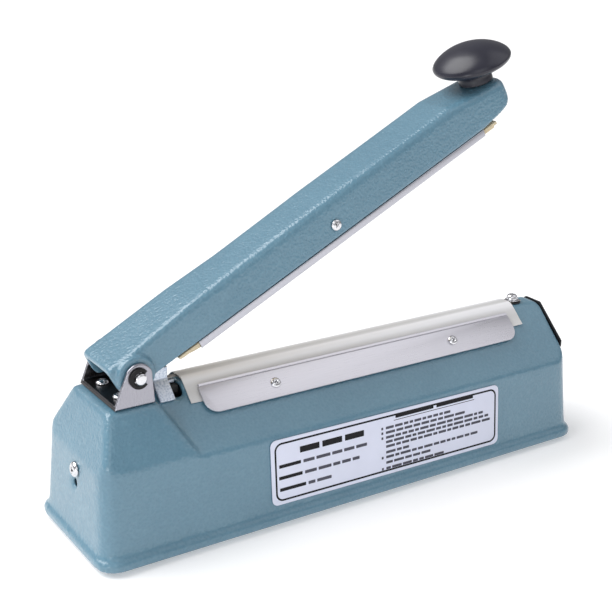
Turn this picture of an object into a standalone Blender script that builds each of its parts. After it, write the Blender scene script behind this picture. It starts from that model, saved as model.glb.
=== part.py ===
"""Hand-operated impulse heat sealer: a long die-cast base with a gabled top, a sealing bar
under a non-stick cloth, a hinged die-cast pressing arm with a mushroom knob, and the timer,
transformer and switch gear inside the base.

Units: dimensions below are millimetres, turned into metres by MM when a mesh is made.
Axes: +X along the base from the hinge end to the control end, -Y the labelled front, +Z up.
Origin: centre of the base's footprint, on the plane of the rubber feet.
"""

import math

import bmesh
import bpy
from mathutils import Matrix, Vector

MM = 0.001

# ---- driving dimensions (mm); heights are counted from the underside of the base's rim ----
FOOT = 2.5                    # the rubber feet lift the rim this far
BASE_L, BASE_W = 320.0, 87.0  # footprint over the rim
RIM_R, WALL_R = 10.6, 9.0
WALL = 3.0                    # casting wall
WALL_X0, WALL_Y0 = 157.8, 40.7    # half sizes of the wall where it leaves the rim
DRAFT_X, DRAFT_Y = 0.06, 0.084    # inward lean of the walls, mm per mm of height
GABLE_C, GABLE_M = 84.15, 0.95    # roof plane: z = GABLE_C - GABLE_M * |y|
ROOF_Z = 78.1                 # flat along the top of the roof
BLOCK_Z, BLOCK_Y = 77.2, 22.0     # hinge block: height and half width of its top
SHOULDER_Y, SHOULDER_Z = 37.2, 50.5
END_X = 155.2                 # the right-hand gable end stands upright

PIVOT_X, PIVOT_Z = -127.2, 92.5   # hinge pin
OPEN_DEG = 26.6               # the arm stands this far above level at rest
PIN_R = 3.0
EAR_T, EAR_Y = 2.0, 21.5      # hinge bracket: sheet, outer half width

CLOTH_TOP = 80.4              # top of the non-stick cloth, where the arm presses
CLOTH_T = 0.6
CLOTH_X0, CLOTH_X1 = -96.0, 133.0
PLATE_X0, PLATE_X1 = -89.5, 124.4
PAD_H = -(PIVOT_Z - CLOTH_TOP - 0.3)   # underside of the rubber pad, below the pin, arm level
ARM_END = 267.5
PLUNGER_X = -115.8            # the rod that the arm pushes down onto the switch
SPRING_X = -108.2             # the arm's return spring
TERM_X = 138.5

# ---- clear the scene ----
for old in list(bpy.data.objects):
    bpy.data.objects.remove(old, do_unlink=True)
scene = bpy.context.scene
root_col = scene.collection


# ---- helpers ----
def material(name, colour, rough, metal=0.0):
    mat = bpy.data.materials.new(name)
    mat.use_nodes = True
    p = mat.node_tree.nodes["Principled BSDF"]
    p.inputs["Base Color"].default_value = (*colour, 1.0)
    p.inputs["Roughness"].default_value = rough
    p.inputs["Metallic"].default_value = metal
    mat.diffuse_color = (*colour, 1.0)
    return mat


MATS = {
    "blue": material("hammertone_blue", (0.13, 0.26, 0.35), 0.42, 0.2),
    "steel": material("stainless", (0.62, 0.61, 0.64), 0.32, 1.0),
    "zinc": material("zinc_plate", (0.55, 0.58, 0.64), 0.45, 0.9),
    "chrome": material("chrome", (0.75, 0.75, 0.76), 0.12, 1.0),
    "black": material("black_plastic", (0.02, 0.02, 0.025), 0.3, 0.0),
    "panel": material("black_panel", (0.015, 0.015, 0.017), 0.45, 0.3),
    "rubber": material("rubber", (0.02, 0.02, 0.02), 0.8, 0.0),
    "silicone": material("silicone", (0.64, 0.55, 0.38), 0.6, 0.0),
    "alu": material("aluminium", (0.66, 0.66, 0.72), 0.35, 1.0),
    "cloth": material("ptfe_cloth", (0.62, 0.6, 0.58), 0.4, 0.0),
    "fibre": material("fibre", (0.35, 0.3, 0.2), 0.7, 0.0),
    "nichrome": material("nichrome", (0.4, 0.38, 0.36), 0.3, 1.0),
    "label": material("label", (0.74, 0.75, 0.88), 0.4, 0.0),
    "red": material("lamp_red", (0.7, 0.03, 0.02), 0.2, 0.0),
    "white": material("white_plastic", (0.8, 0.8, 0.78), 0.5, 0.0),
    "copper": material("copper_winding", (0.5, 0.2, 0.08), 0.4, 0.6),
    "iron": material("core_iron", (0.12, 0.12, 0.13), 0.6, 0.8),
    "board": material("circuit_board", (0.05, 0.2, 0.08), 0.5, 0.0),
    "bluecap": material("blue_part", (0.05, 0.12, 0.4), 0.5, 0.0),
}


def make(name, verts, faces, mat, smooth=None):
    """A mesh object from points in millimetres, heights counted from the rim."""
    me = bpy.data.meshes.new(name)
    me.from_pydata([(v[0] * MM, v[1] * MM, v[2] * MM) for v in verts], [], faces)
    bm = bmesh.new()
    bm.from_mesh(me)
    bmesh.ops.recalc_face_normals(bm, faces=bm.faces)
    bm.to_mesh(me)
    bm.free()
    ob = bpy.data.objects.new(name, me)
    root_col.objects.link(ob)
    ob.location = (0, 0, FOOT * MM)
    me.materials.append(MATS[mat])
    if smooth:
        me.shade_smooth()
        me.set_sharp_from_angle(angle=math.radians(smooth))
    return ob


def combine(ob, others, operation):
    """Boolean ob with each other object, applied, and the others dropped."""
    for other in others:
        mod = ob.modifiers.new("b", "BOOLEAN")
        mod.operation = operation
        mod.solver = "EXACT"
        mod.object = other
        bpy.context.view_layer.update()
        graph = bpy.context.evaluated_depsgraph_get()
        me = bpy.data.meshes.new_from_object(ob.evaluated_get(graph))
        ob.modifiers.clear()
        old = ob.data
        ob.data = me
        mats = [m for m in old.materials]
        me.materials.clear()
        for m in mats:
            me.materials.append(m)
        for poly in me.polygons:
            poly.material_index = 0
        bpy.data.meshes.remove(old)
    for other in others:
        bpy.data.objects.remove(other, do_unlink=True)
    return ob


def cut(ob, *others):
    return combine(ob, list(others), "DIFFERENCE")


def join(ob, *others):
    return combine(ob, list(others), "UNION")


def keep(ob, *others):
    return combine(ob, list(others), "INTERSECT")


def prism(name, poly, axis, a, b, mat="blue", smooth=None):
    """A flat polygon pushed from a to b along an axis. poly holds the two other axes in X, Y, Z order."""
    put = {
        "x": lambda p, t: (t, p[0], p[1]),
        "y": lambda p, t: (p[0], t, p[1]),
        "z": lambda p, t: (p[0], p[1], t),
    }[axis]
    n = len(poly)
    verts = [put(p, a) for p in poly] + [put(p, b) for p in poly]
    faces = [tuple(range(n)), tuple(range(2 * n - 1, n - 1, -1))]
    faces += [(i, (i + 1) % n, n + (i + 1) % n, n + i) for i in range(n)]
    return make(name, verts, faces, mat, smooth)


def box(name, x0, x1, y0, y1, z0, z1, mat="blue", bevel=0.0, seg=1):
    ob = prism(name, [(x0, y0), (x1, y0), (x1, y1), (x0, y1)], "z", z0, z1, mat)
    if bevel:
        add_bevel(ob, bevel, seg)
    return ob


def add_bevel(ob, width, seg=1, angle=30):
    mod = ob.modifiers.new("bevel", "BEVEL")
    mod.width = width * MM
    mod.segments = seg
    mod.limit_method = "ANGLE"
    mod.angle_limit = math.radians(angle)
    return ob


def loft(name, rings, mat="blue", smooth=None):
    """Equal rings of points, joined in order and capped at both ends."""
    n = len(rings[0])
    verts = [p for ring in rings for p in ring]
    faces = [tuple(range(n)), tuple(range(len(verts) - 1, len(verts) - n - 1, -1))]
    for k in range(len(rings) - 1):
        for i in range(n):
            j = (i + 1) % n
            faces.append((k * n + i, k * n + j, (k + 1) * n + j, (k + 1) * n + i))
    return make(name, verts, faces, mat, smooth)


def rrect(hx, hy, r, seg=4):
    pts = []
    for cx, cy, a0 in ((1, 1, 0), (-1, 1, 90), (-1, -1, 180), (1, -1, 270)):
        for i in range(seg + 1):
            a = math.radians(a0 + 90 * i / seg)
            pts.append((cx * (hx - r) + r * math.cos(a), cy * (hy - r) + r * math.sin(a)))
    return pts


def frame_of(direction):
    d = Vector(direction).normalized()
    u = Vector((0, 1, 0)) if abs(d.y) < 0.9 else Vector((1, 0, 0))
    u = (u - d * u.dot(d)).normalized()
    return d, u, d.cross(u)


def turned(name, base, direction, profile, n=24, mat="chrome", smooth=40, phase=0.0):
    """A solid of revolution: profile is (radius, distance along direction) from one pole to the other."""
    d, u, w = frame_of(direction)
    base = Vector(base)
    verts, rings = [], []
    for r, t in profile:
        if r < 1e-6:
            rings.append([len(verts)])
            verts.append(base + d * t)
        else:
            ids = []
            for i in range(n):
                a = 2 * math.pi * i / n + phase
                ids.append(len(verts))
                verts.append(base + d * t + (u * math.cos(a) + w * math.sin(a)) * r)
            rings.append(ids)
    faces = []
    if len(rings[0]) > 1:
        faces.append(tuple(reversed(rings[0])))
    if len(rings[-1]) > 1:
        faces.append(tuple(rings[-1]))
    for a, b in zip(rings, rings[1:]):
        if len(a) == 1:
            faces += [(a[0], b[i], b[(i + 1) % n]) for i in range(n)]
        elif len(b) == 1:
            faces += [(a[i], b[0], a[(i + 1) % n]) for i in range(n)]
        else:
            faces += [(a[i], b[i], b[(i + 1) % n], a[(i + 1) % n]) for i in range(n)]
    return make(name, verts, faces, mat, smooth)


def rod(name, p0, p1, r, n=16, mat="chrome"):
    p0, p1 = Vector(p0), Vector(p1)
    return turned(name, p0, p1 - p0, [(r, 0), (r, (p1 - p0).length)], n, mat)


def screw(name, seat, outward, head_r=3.4, head_h=1.9, shank_r=1.5, shank=7.0, n=16, mat="chrome"):
    """Pan-head cross-slot screw: seat is where the head rests, outward the way the head faces."""
    prof = [
        (shank_r, -shank), (shank_r, 0.0), (head_r, 0.0), (head_r, head_h * 0.45),
        (head_r * 0.88, head_h * 0.82), (head_r * 0.55, head_h), (0, head_h),
    ]
    ob = turned(name, seat, outward, prof, n, mat, 35)
    d, u, w = frame_of(outward)
    seat = Vector(seat)
    half, wide = head_r * 0.5, head_r * 0.11
    for a, b in ((u, w), (w, u)):
        pts = []
        for t in (head_h * 0.45, head_h + 1):
            for s, q in ((-1, -1), (1, -1), (1, 1), (-1, 1)):
                pts.append(seat + d * t + a * (s * half) + b * (q * wide))
        slot = make("slot", pts, [(0, 1, 2, 3), (7, 6, 5, 4), (0, 4, 5, 1), (1, 5, 6, 2), (2, 6, 7, 3), (3, 7, 4, 0)], mat)
        cut(ob, slot)
    return ob


def tube_along(name, pts, r, n=8, mat="steel"):
    """A round wire through a list of points."""
    rings = []
    prev = None
    for k, p in enumerate(pts):
        a = Vector(pts[max(k - 1, 0)])
        b = Vector(pts[min(k + 1, len(pts) - 1)])
        d = (b - a).normalized()
        if prev is None:
            u = Vector((0, 0, 1)) if abs(d.z) < 0.9 else Vector((1, 0, 0))
        else:
            u = prev
        u = (u - d * u.dot(d)).normalized()
        prev = u
        w = d.cross(u)
        rings.append([Vector(p) + (u * math.cos(2 * math.pi * i / n) + w * math.sin(2 * math.pi * i / n)) * r for i in range(n)])
    return loft(name, rings, mat, 60)


def wall_x(z):
    return WALL_X0 - DRAFT_X * (min(z, 47.5) - 5)


def wall_y(z):
    return WALL_Y0 - DRAFT_Y * (z - 5)


# ---- base housing -------------------------------------------------------------------------
def body_rings(off, rim):
    rings = []
    if rim:
        for z, g in ((0, 0), (4.0, 0), (5.2, 0.8), (6.0, 2.0)):
            rings.append([(x, y, z) for x, y in rrect(BASE_L / 2 - g, BASE_W / 2 - g, RIM_R - g * 0.4)])
        z0 = 7.4
    else:
        z0 = -2.0
    for z in (z0, 47.5, 100.0):
        rings.append([(x, y, z) for x, y in rrect(wall_x(z) - off, wall_y(z) - off, WALL_R - off * 0.6)])
    return rings


def roof(off, name):
    """What the walls are trimmed to: a gable for the whole length joined with a hinge block at the left."""
    c = GABLE_C - off * math.hypot(1, GABLE_M)
    top = ROOF_Z - off
    w = (c - top) / GABLE_M
    gable = prism(name, [(-60, -9), (60, -9), (60, c - GABLE_M * 60), (w, top), (-w, top), (-60, c - GABLE_M * 60)], "x", -117.2, 170)
    m = (BLOCK_Z - SHOULDER_Z) / (SHOULDER_Y - BLOCK_Y)
    cb = BLOCK_Z + m * BLOCK_Y - off * math.hypot(1, m)
    tb = BLOCK_Z - off
    wb = (cb - tb) / m
    block = prism("block", [(-60, -9), (60, -9), (60, cb - m * 60), (wb, tb), (-wb, tb), (-60, cb - m * 60)], "x", -171, -60)
    # the hinge block's inner end leans: it runs down to the shoulder further from the hinge
    lean = prism("lean", [(-180, -20), (-62 - off, -20), (-101.8 - off, SHOULDER_Z), (-117.0 - off, BLOCK_Z), (-124.3 - off, 90), (-180, 90)], "y", -70, 70)
    keep(block, lean)
    join(gable, block)
    ends = prism("ends", [(-190, -20), (190, -20), (190, 46), (END_X - off, 54), (END_X - off, 75.6 - off * 0.4), (END_X - 3.4 - off, 79.0 - off * 0.4), (END_X - 10 - off, 90), (-143.4 + off, 82), (-145.1 + off, BLOCK_Z), (-154.8 + off, 50), (-175, 20)], "y", -80, 80)
    keep(gable, ends)
    return gable


housing = loft("base_housing", body_rings(0, True), "blue", 30)
keep(housing, roof(0, "roof_outer"))
hollow = loft("hollow", body_rings(WALL, False))
keep(hollow, roof(WALL, "roof_inner"))
cut(housing, hollow)

# screw bosses that carry the bottom plate
BOSSES = [(-143.5, -27.5), (-143.5, 27.5), (143.5, -27.5), (143.5, 27.5)]
for bx, by in BOSSES:
    sx, sy = (1 if bx > 0 else -1), (1 if by > 0 else -1)
    # a square post that reaches into the corner of the wall, with the screw's hole up its middle
    join(housing, box("boss", min(bx - 4 * sx, bx + 8.5 * sx), max(bx - 4 * sx, bx + 8.5 * sx), min(by - 4 * sy, by + 9 * sy), max(by - 4 * sy, by + 9 * sy), 2.6, 30))
    cut(housing, rod("bore", (bx, by, 2.0), (bx, by, 16), 1.9, 10))

# opening beside the sealing bar for the spring terminal, and a pocket below it
cut(housing, box("gap", -103.4, -97.2, -16, 16, 71.6, 90))
# plunger, hinge bracket and terminal holes through the roof
cut(housing, rod("bore", (PLUNGER_X, 0, 66), (PLUNGER_X, 0, 95), 2.2, 14))
BRACKET_SCREWS = [(-133.5, 10.5), (-133.5, -10.5)]
for sx, sy in BRACKET_SCREWS:
    cut(housing, rod("bore", (sx, sy, 66), (sx, sy, 95), 1.9, 12))
cut(housing, rod("bore", (TERM_X, 0, 66), (TERM_X, 0, 95), 2.9, 14))

# clamp plate screw holes, square to the roof planes
SLOPE = math.atan(GABLE_M)
NORMAL = (0, -math.sin(SLOPE), math.cos(SLOPE))


def on_roof(x, d, lift, side=-1):
    """A point d mm down the front (side -1) or rear (+1) roof plane from its ridge line, lifted off it."""
    y, z = d * math.cos(SLOPE), GABLE_C - d * math.sin(SLOPE)
    y, z = y + lift * math.sin(SLOPE), z + lift * math.cos(SLOPE)
    return (x, side * y, z)


def roof_normal(side=-1):
    return (0, side * math.sin(SLOPE), math.cos(SLOPE))


CLAMP_X = (-45.4, 77.0)
CLAMP_D = 22.2
for cx in CLAMP_X:
    for side in (-1, 1):
        cut(housing, rod("bore", on_roof(cx, CLAMP_D, -6, side), on_roof(cx, CLAMP_D, 4, side), 1.9, 12))

# left end: switch screw and adjusting hole; right end: timer shaft, lamp and panel screws; rear: mains inlet
SWITCH_SCREW = (-2.2, 41.4)
cut(housing, rod("bore", (-170, SWITCH_SCREW[0], SWITCH_SCREW[1]), (-140, SWITCH_SCREW[0], SWITCH_SCREW[1]), 1.9, 12))
cut(housing, rod("bore", (-170, -0.4, 32.6), (-140, -0.4, 32.6), 2.2, 12))
DIAL_Y, DIAL_Z = 3.0, 64.0
LAMP_Y, LAMP_Z = -13.5, 60.5
END_N = (1, 0, 0)


def on_end(y, z, lift=0.0):
    """A point on the right-hand gable end, lifted off it."""
    return (END_X + lift, y, z)


cut(housing, rod("bore", on_end(DIAL_Y, DIAL_Z, -9), on_end(DIAL_Y, DIAL_Z, 6), 4.2, 18))
cut(housing, rod("bore", on_end(LAMP_Y, LAMP_Z, -9), on_end(LAMP_Y, LAMP_Z, 6), 3.4, 16))
INLET_X, INLET_Z = 108.0, 24.0
cut(housing, box("inlet_cut", INLET_X - 14, INLET_X + 14, 30, 50, INLET_Z - 10.2, INLET_Z + 10.2))

# ---- bottom plate, feet and screws ----------------------------------------------------------
plate = loft("bottom_plate", [[(x, y, z) for x, y in rrect(wall_x(0) - WALL - 0.5, wall_y(0) - WALL - 0.5, 6.6, 3)] for z in (0.9, 2.1)], "zinc")
for bx, by in BOSSES:
    cut(plate, rod("bore", (bx, by, 0), (bx, by, 3), 1.9, 10))
FEET = [(-128.0, -25.0), (-128.0, 25.0), (128.0, -25.0), (128.0, 25.0)]
for i, (fx, fy) in enumerate(FEET):
    turned("rubber_foot_%d" % (i + 1), (fx, fy, 0), (0, 0, 1), [(5.6, -FOOT), (7.0, -FOOT + 0.8), (7.6, 0.6), (0, 0.6)], 20, "rubber")
for k in range(5):
    for row in (-12, 0, 12):
        cut(plate, rod("vent", (-60 + k * 22, row, 0), (-60 + k * 22, row, 3), 2.4, 8))
for i, (bx, by) in enumerate(BOSSES):
    screw("bottom_screw_%d" % (i + 1), (bx, by, 0.6), (0, 0, -1), 3.2, 1.8, 1.5, 11, 12)

# ---- hinge bracket: folded U with two ears --------------------------------------------------
BR_X0, BR_X1 = -141.2, -118.6
base_z = BLOCK_Z + 0.3


def ear_outline(grow=0.0):
    """The ear seen from the side: straight flanks up to a round head about the pin."""
    r = 7.5
    pts = [(BR_X0, base_z), (BR_X1, base_z)]
    for a in range(-6, 151, 12):
        t = math.radians(a)
        pts.append((PIVOT_X + r * math.cos(t), PIVOT_Z + r * math.sin(t)))
    return pts


bracket = prism("hinge_bracket", ear_outline(), "y", -EAR_Y, EAR_Y, "steel", 30)
inside = prism("inside", [(BR_X0 - 5, base_z + EAR_T), (BR_X1 + 5, base_z + EAR_T), (BR_X1 + 5, 110), (BR_X0 - 5, 110)], "y", -EAR_Y + EAR_T, EAR_Y - EAR_T)
cut(bracket, inside)
cut(bracket, rod("bore", (PIVOT_X, -30, PIVOT_Z), (PIVOT_X, 30, PIVOT_Z), PIN_R + 0.25, 20))
for i, (sx, sy) in enumerate(BRACKET_SCREWS):
    cut(bracket, rod("bore", (sx, sy, 70), (sx, sy, 84), 1.9, 12))
    screw("bracket_screw_%s" % ("rear" if sy > 0 else "front"), (sx, sy, base_z + EAR_T + 0.3), (0, 0, 1), 3.4, 1.7, 1.5, 7.6, 16)

# pin with a groove for a retaining clip at each end
groove = 2.3
pin_prof = [(0, -24.6), (PIN_R - 0.5, -24.6), (PIN_R, -24.1), (PIN_R, -23.1), (groove, -23.1), (groove, -21.7), (PIN_R, -21.7),
            (PIN_R, 21.7), (groove, 21.7), (groove, 23.1), (PIN_R, 23.1), (PIN_R, 24.1), (PIN_R - 0.5, 24.6), (0, 24.6)]
turned("hinge_pin", (PIVOT_X, 0, PIVOT_Z), (0, 1, 0), pin_prof, 24, "steel", 40)
for side, tag in ((-1, "front"), (1, "rear")):
    ring = []
    for a in range(42, 319, 12):
        t = math.radians(a)
        ring.append((PIVOT_X - 0.4 + 6.1 * math.cos(t), PIVOT_Z + 6.1 * math.sin(t)))
    for a in range(318, 41, -12):
        t = math.radians(a)
        ring.append((PIVOT_X + 2.75 * math.cos(t), PIVOT_Z + 2.75 * math.sin(t)))
    prism("retaining_clip_" + tag, ring, "y", side * 21.9, side * 22.9, "panel", 40)

# ---- spring saddle: folded strip whose feet lie on the roof planes, the seat of the arm's spring ---
SAD_X0, SAD_X1 = -112.7, -103.7
sad_c = GABLE_C + 0.3 * math.hypot(1, GABLE_M)
sad_o = GABLE_C + 2.2 * math.hypot(1, GABLE_M)
half = [(5.6, 88.5), (5.6, sad_o - GABLE_M * 5.6), (14.6, sad_o - GABLE_M * 14.6), (13.3, sad_c - GABLE_M * 13.3), (3.8, sad_c - GABLE_M * 3.8), (3.8, 86.6)]
saddle = prism("spring_saddle", half + [(-y, z) for y, z in reversed(half)], "x", SAD_X0, SAD_X1, "zinc")

# switch rod: the arm presses its head, its lower end works the switch
CAP_Z = 103.9
PL_BOTTOM = 58.6
turned("switch_rod", (PLUNGER_X, 0, 0), (0, 0, 1), [(0, PL_BOTTOM), (1.2, PL_BOTTOM), (1.7, PL_BOTTOM + 0.6), (1.7, CAP_Z - 1.0), (1.2, CAP_Z - 0.2), (0, CAP_Z)], 16, "steel")
# return spring between the saddle and the arm's web
S0, S1, TURNS = 89.4, 107.6, 6.5
steps = int(TURNS * 12)
tube_along("arm_return_spring", [(SPRING_X + 3.2 * math.cos(2 * math.pi * TURNS * k / steps), 3.2 * math.sin(2 * math.pi * TURNS * k / steps), S0 + (S1 - S0) * k / steps) for k in range(steps + 1)], 0.55, 6, "steel")

# ---- sealing bar ----------------------------------------------------------------------------
box("insulation_strip", -95.0, 131.0, -5.0, 5.0, 78.4, 78.9, "white")
elem = box("heating_element", -104.0, 134.0, -1.5, 1.5, 79.2, 79.5, "nichrome")
join(elem, box("tab", 133.5, 143.0, -3.4, 3.4, 79.2, 79.5))
cut(elem, rod("bore", (TERM_X, 0, 70), (TERM_X, 0, 90), 1.9, 12))

# non-stick cloth folded over the ridge: flat top, two sloping skirts
cw = (GABLE_C + 1.3 - CLOTH_TOP) / GABLE_M


def cloth_line(lift, depth):
    """Half of the cloth's section, from the middle of the top to the hem."""
    c = GABLE_C + lift * math.hypot(1, GABLE_M)
    top = CLOTH_TOP - (0.9 - lift)
    w = (c - top) / GABLE_M
    out = [(0.0, top), (w - 2.2, top), (w - 0.9, top - 0.3), (w + 0.5, c - GABLE_M * (w + 0.5) - 0.12)]
    y1 = depth * math.cos(SLOPE) + lift * math.sin(SLOPE)
    out.append((y1, c - GABLE_M * y1))
    return out


CLOTH_D = 22.0
up = cloth_line(0.9, CLOTH_D)
low = cloth_line(0.3, CLOTH_D)
section = [(-y, z) for y, z in reversed(up)] + up[1:] + [(y, z) for y, z in reversed(low)] + [(-y, z) for y, z in low[1:]]
cloth = prism("ptfe_cover", section, "x", CLOTH_X0, CLOTH_X1, "cloth")
for cx in CLAMP_X:
    for side in (-1, 1):
        cut(cloth, rod("bore", on_roof(cx, CLAMP_D, -1, side), on_roof(cx, CLAMP_D, 4, side), 1.9, 12))

# clamp plates that hold the cloth's skirts down
D0, D1 = 12.7, 30.4
for side, tag in ((-1, "front"), (1, "rear")):
    n = []
    r = 9.0
    outline = [(PLATE_X0, D0), (PLATE_X1, D0)]
    for a in range(0, 91, 15):
        t = math.radians(a)
        outline.append((PLATE_X1 - r + r * math.cos(t), D1 - r + r * math.sin(t)))
    for a in range(90, 181, 15):
        t = math.radians(a)
        outline.append((PLATE_X0 + r + r * math.cos(t), D1 - r + r * math.sin(t)))
    verts = [on_roof(x, d, 1.2, side) for x, d in outline] + [on_roof(x, d, 2.3, side) for x, d in outline]
    k = len(outline)
    faces = [tuple(range(k)), tuple(range(2 * k - 1, k - 1, -1))] + [(i, (i + 1) % k, k + (i + 1) % k, k + i) for i in range(k)]
    cp = make("clamp_plate_" + tag, verts, faces, "steel")
    for j, cx in enumerate(CLAMP_X):
        cut(cp, rod("bore", on_roof(cx, CLAMP_D, 0, side), on_roof(cx, CLAMP_D, 5, side), 1.9, 12))
        screw("clamp_screw_%s_%d" % (tag, j + 1), on_roof(cx, CLAMP_D, 2.6, side), roof_normal(side), 3.0, 1.7, 1.5, 7.4, 16)

# right-hand terminal: insulating bush, nut and screw over the ribbon's end
ins = turned("terminal_insulator_right", (TERM_X, 0, 0), (0, 0, 1), [(5.4, 78.4), (5.4, 78.9), (0, 78.9)], 20, "panel")
join(ins, rod("neck", (TERM_X, 0, 74), (TERM_X, 0, 78.6), 2.6, 14))
cut(ins, rod("bore", (TERM_X, 0, 70), (TERM_X, 0, 90), 1.9, 12))
nut = turned("terminal_nut_right", (TERM_X, 0, 0), (0, 0, 1), [(3.6, 79.8), (3.6, 81.2), (0, 81.2)], 6, "chrome", None)
cut(nut, rod("bore", (TERM_X, 0, 70), (TERM_X, 0, 90), 1.9, 12))
screw("terminal_screw_right", (TERM_X, 0, 81.5), (0, 0, 1), 3.3, 2.0, 1.5, 9, 16)

# left-hand terminal: insulating block in the notch of the ridge, and the clip that grips the ribbon
blk = box("terminal_block_left", -102.8, -97.8, -5.5, 5.5, 72.0, 76.6, "panel")
box("terminal_clip_left", -102.4, -98.4, -2.6, 2.6, 76.9, 78.9, "zinc")

# ---- label, control panel and what it carries -----------------------------------------------
LX0, LX1, LZ0, LZ1 = -61.0, 97.0, 9.4, 46.4
front_n = (0, -1 / math.hypot(1, DRAFT_Y), DRAFT_Y / math.hypot(1, DRAFT_Y))


def on_front(x, z, lift):
    return (x, -wall_y(z) + front_n[1] * lift, z + front_n[2] * lift)


pts = [(x + (LX0 + LX1) / 2, z + (LZ0 + LZ1) / 2) for x, z in rrect((LX1 - LX0) / 2, (LZ1 - LZ0) / 2, 3.5, 4)]
k = len(pts)
make("label_plate", [on_front(x, z, 0.3) for x, z in pts] + [on_front(x, z, 0.75) for x, z in pts],
     [tuple(range(k)), tuple(range(2 * k - 1, k - 1, -1))] + [(i, (i + 1) % k, k + (i + 1) % k, k + i) for i in range(k)], "label")

# control panel: flat black plate on the right-hand gable end
pz = [(-27.6, 53.5), (27.6, 53.5), (27.6, 57.8), (6.3, 77.0), (-6.3, 77.0), (-27.6, 57.8)]
k = len(pz)
panel = make("control_panel", [on_end(y, z, 0.3) for y, z in pz] + [on_end(y, z, 1.8) for y, z in pz],
             [tuple(range(k)), tuple(range(2 * k - 1, k - 1, -1))] + [(i, (i + 1) % k, k + (i + 1) % k, k + i) for i in range(k)], "panel")
cut(panel, rod("bore", on_end(DIAL_Y, DIAL_Z, -2), on_end(DIAL_Y, DIAL_Z, 6), 3.6, 16))
cut(panel, rod("bore", on_end(LAMP_Y, LAMP_Z, -2), on_end(LAMP_Y, LAMP_Z, 6), 3.3, 16))

pot = turned("timer_potentiometer", on_end(DIAL_Y, DIAL_Z, 0), END_N, [(7.2, -14), (7.2, -4.0), (3.9, -4.0), (3.9, -0.2), (3.2, -0.2), (3.2, 1.6), (0, 1.6)], 20, "zinc")
cut(pot, rod("bore", on_end(DIAL_Y, DIAL_Z, -4), on_end(DIAL_Y, DIAL_Z, 6), 2.4, 14))
turned("timer_shaft", on_end(DIAL_Y, DIAL_Z, 0), END_N, [(2.1, -3.5), (2.1, 3.0), (0, 3.0)], 12, "alu")
prof = [(8.0, 2.1), (8.0, 2.7), (6.4, 3.1), (6.2, 4.4), (5.8, 4.7), (0, 4.7)]
dial = turned("timer_dial", on_end(DIAL_Y, DIAL_Z, 0), END_N, prof, 24, "black")
cut(dial, rod("bore", on_end(DIAL_Y, DIAL_Z, 0), on_end(DIAL_Y, DIAL_Z, 3.3), 2.45, 14))
lamp = turned("lamp_holder", on_end(LAMP_Y, LAMP_Z, 0), END_N, [(3.05, -7), (3.05, 2.1), (4.4, 2.1), (4.4, 2.8), (0, 2.8)], 18, "black")
cut(lamp, rod("bore", on_end(LAMP_Y, LAMP_Z, -10), on_end(LAMP_Y, LAMP_Z, 6), 2.3, 14))
turned("lamp_lens", on_end(LAMP_Y, LAMP_Z, 0), END_N, [(1.9, -3), (1.9, 3.1), (3.6, 3.1), (3.2, 3.8), (1.8, 4.3), (0, 4.5)], 16, "red")

# mains inlet in the rear wall
iy = wall_y(INLET_Z)
inlet = box("power_inlet", INLET_X - 13.6, INLET_X + 13.6, iy - 18, iy + 2, INLET_Z - 9.8, INLET_Z + 9.8, "black")
flange = prism("flange", [(x + INLET_X, z + INLET_Z) for x, z in rrect(24.5, 11.8, 4, 3)], "y", iy + 1.4, iy + 3.0)
join(inlet, flange)
well = prism("well", [(INLET_X - 11.5, INLET_Z - 8), (INLET_X + 11.5, INLET_Z - 8), (INLET_X + 11.5, INLET_Z + 3.5), (INLET_X + 7, INLET_Z + 8), (INLET_X - 7, INLET_Z + 8), (INLET_X - 11.5, INLET_Z + 3.5)], "y", iy - 15, iy + 5)
cut(inlet, well)
for dx, dz in ((-6, -2), (0, 2.5), (6, -2)):
    join(inlet, box("blade", INLET_X + dx - 1, INLET_X + dx + 1, iy - 16, iy - 1.5, INLET_Z + dz - 2, INLET_Z + dz + 2))

# ---- inside the base: switch, transformer, timer board -----------------------------------------
SWX0, SWX1 = -146.5, -121.0
box("microswitch", SWX0, SWX1, -5.2, 5.2, 35.5, 51.3, "black")
ly = SWITCH_SCREW[0]
sb = prism("microswitch_bracket", [(-149.6, 28.0), (-148.1, 28.0), (-148.1, 33.4), (-121, 33.4), (-121, 34.9), (-148.1, 34.9), (-148.1, 46.0), (-149.6, 46.0)], "y", -8.0, 7.5, "zinc")
cut(sb, rod("bore", (-153, ly, SWITCH_SCREW[1]), (-146, ly, SWITCH_SCREW[1]), 1.9, 12))
cut(sb, rod("bore", (-153, -0.4, 32.6), (-146, -0.4, 32.6), 1.6, 10))
screw("switch_screw", (-wall_x(SWITCH_SCREW[1]) - 0.35, ly, SWITCH_SCREW[1]), (-1, 0, 0), 3.7, 1.9, 1.5, 6.3, 18)
LEV_X, LEV_Z = -137.0, 57.6
lever = prism("switch_lever", [(LEV_X, LEV_Z - 0.3), (PLUNGER_X + 3.2, LEV_Z - 0.3), (PLUNGER_X + 3.2, LEV_Z + 0.3), (LEV_X, LEV_Z + 0.3)], "y", -3.2, 3.2, "steel")
join(lever, rod("barrel", (LEV_X, -3.2, LEV_Z), (LEV_X, 3.2, LEV_Z), 1.2, 12))
for y0 in (-5.2, 3.6):
    join(bpy.data.objects["microswitch"], box("cheek", LEV_X - 3, LEV_X + 3, y0, y0 + 1.6, 50.0, 60.0))

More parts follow.
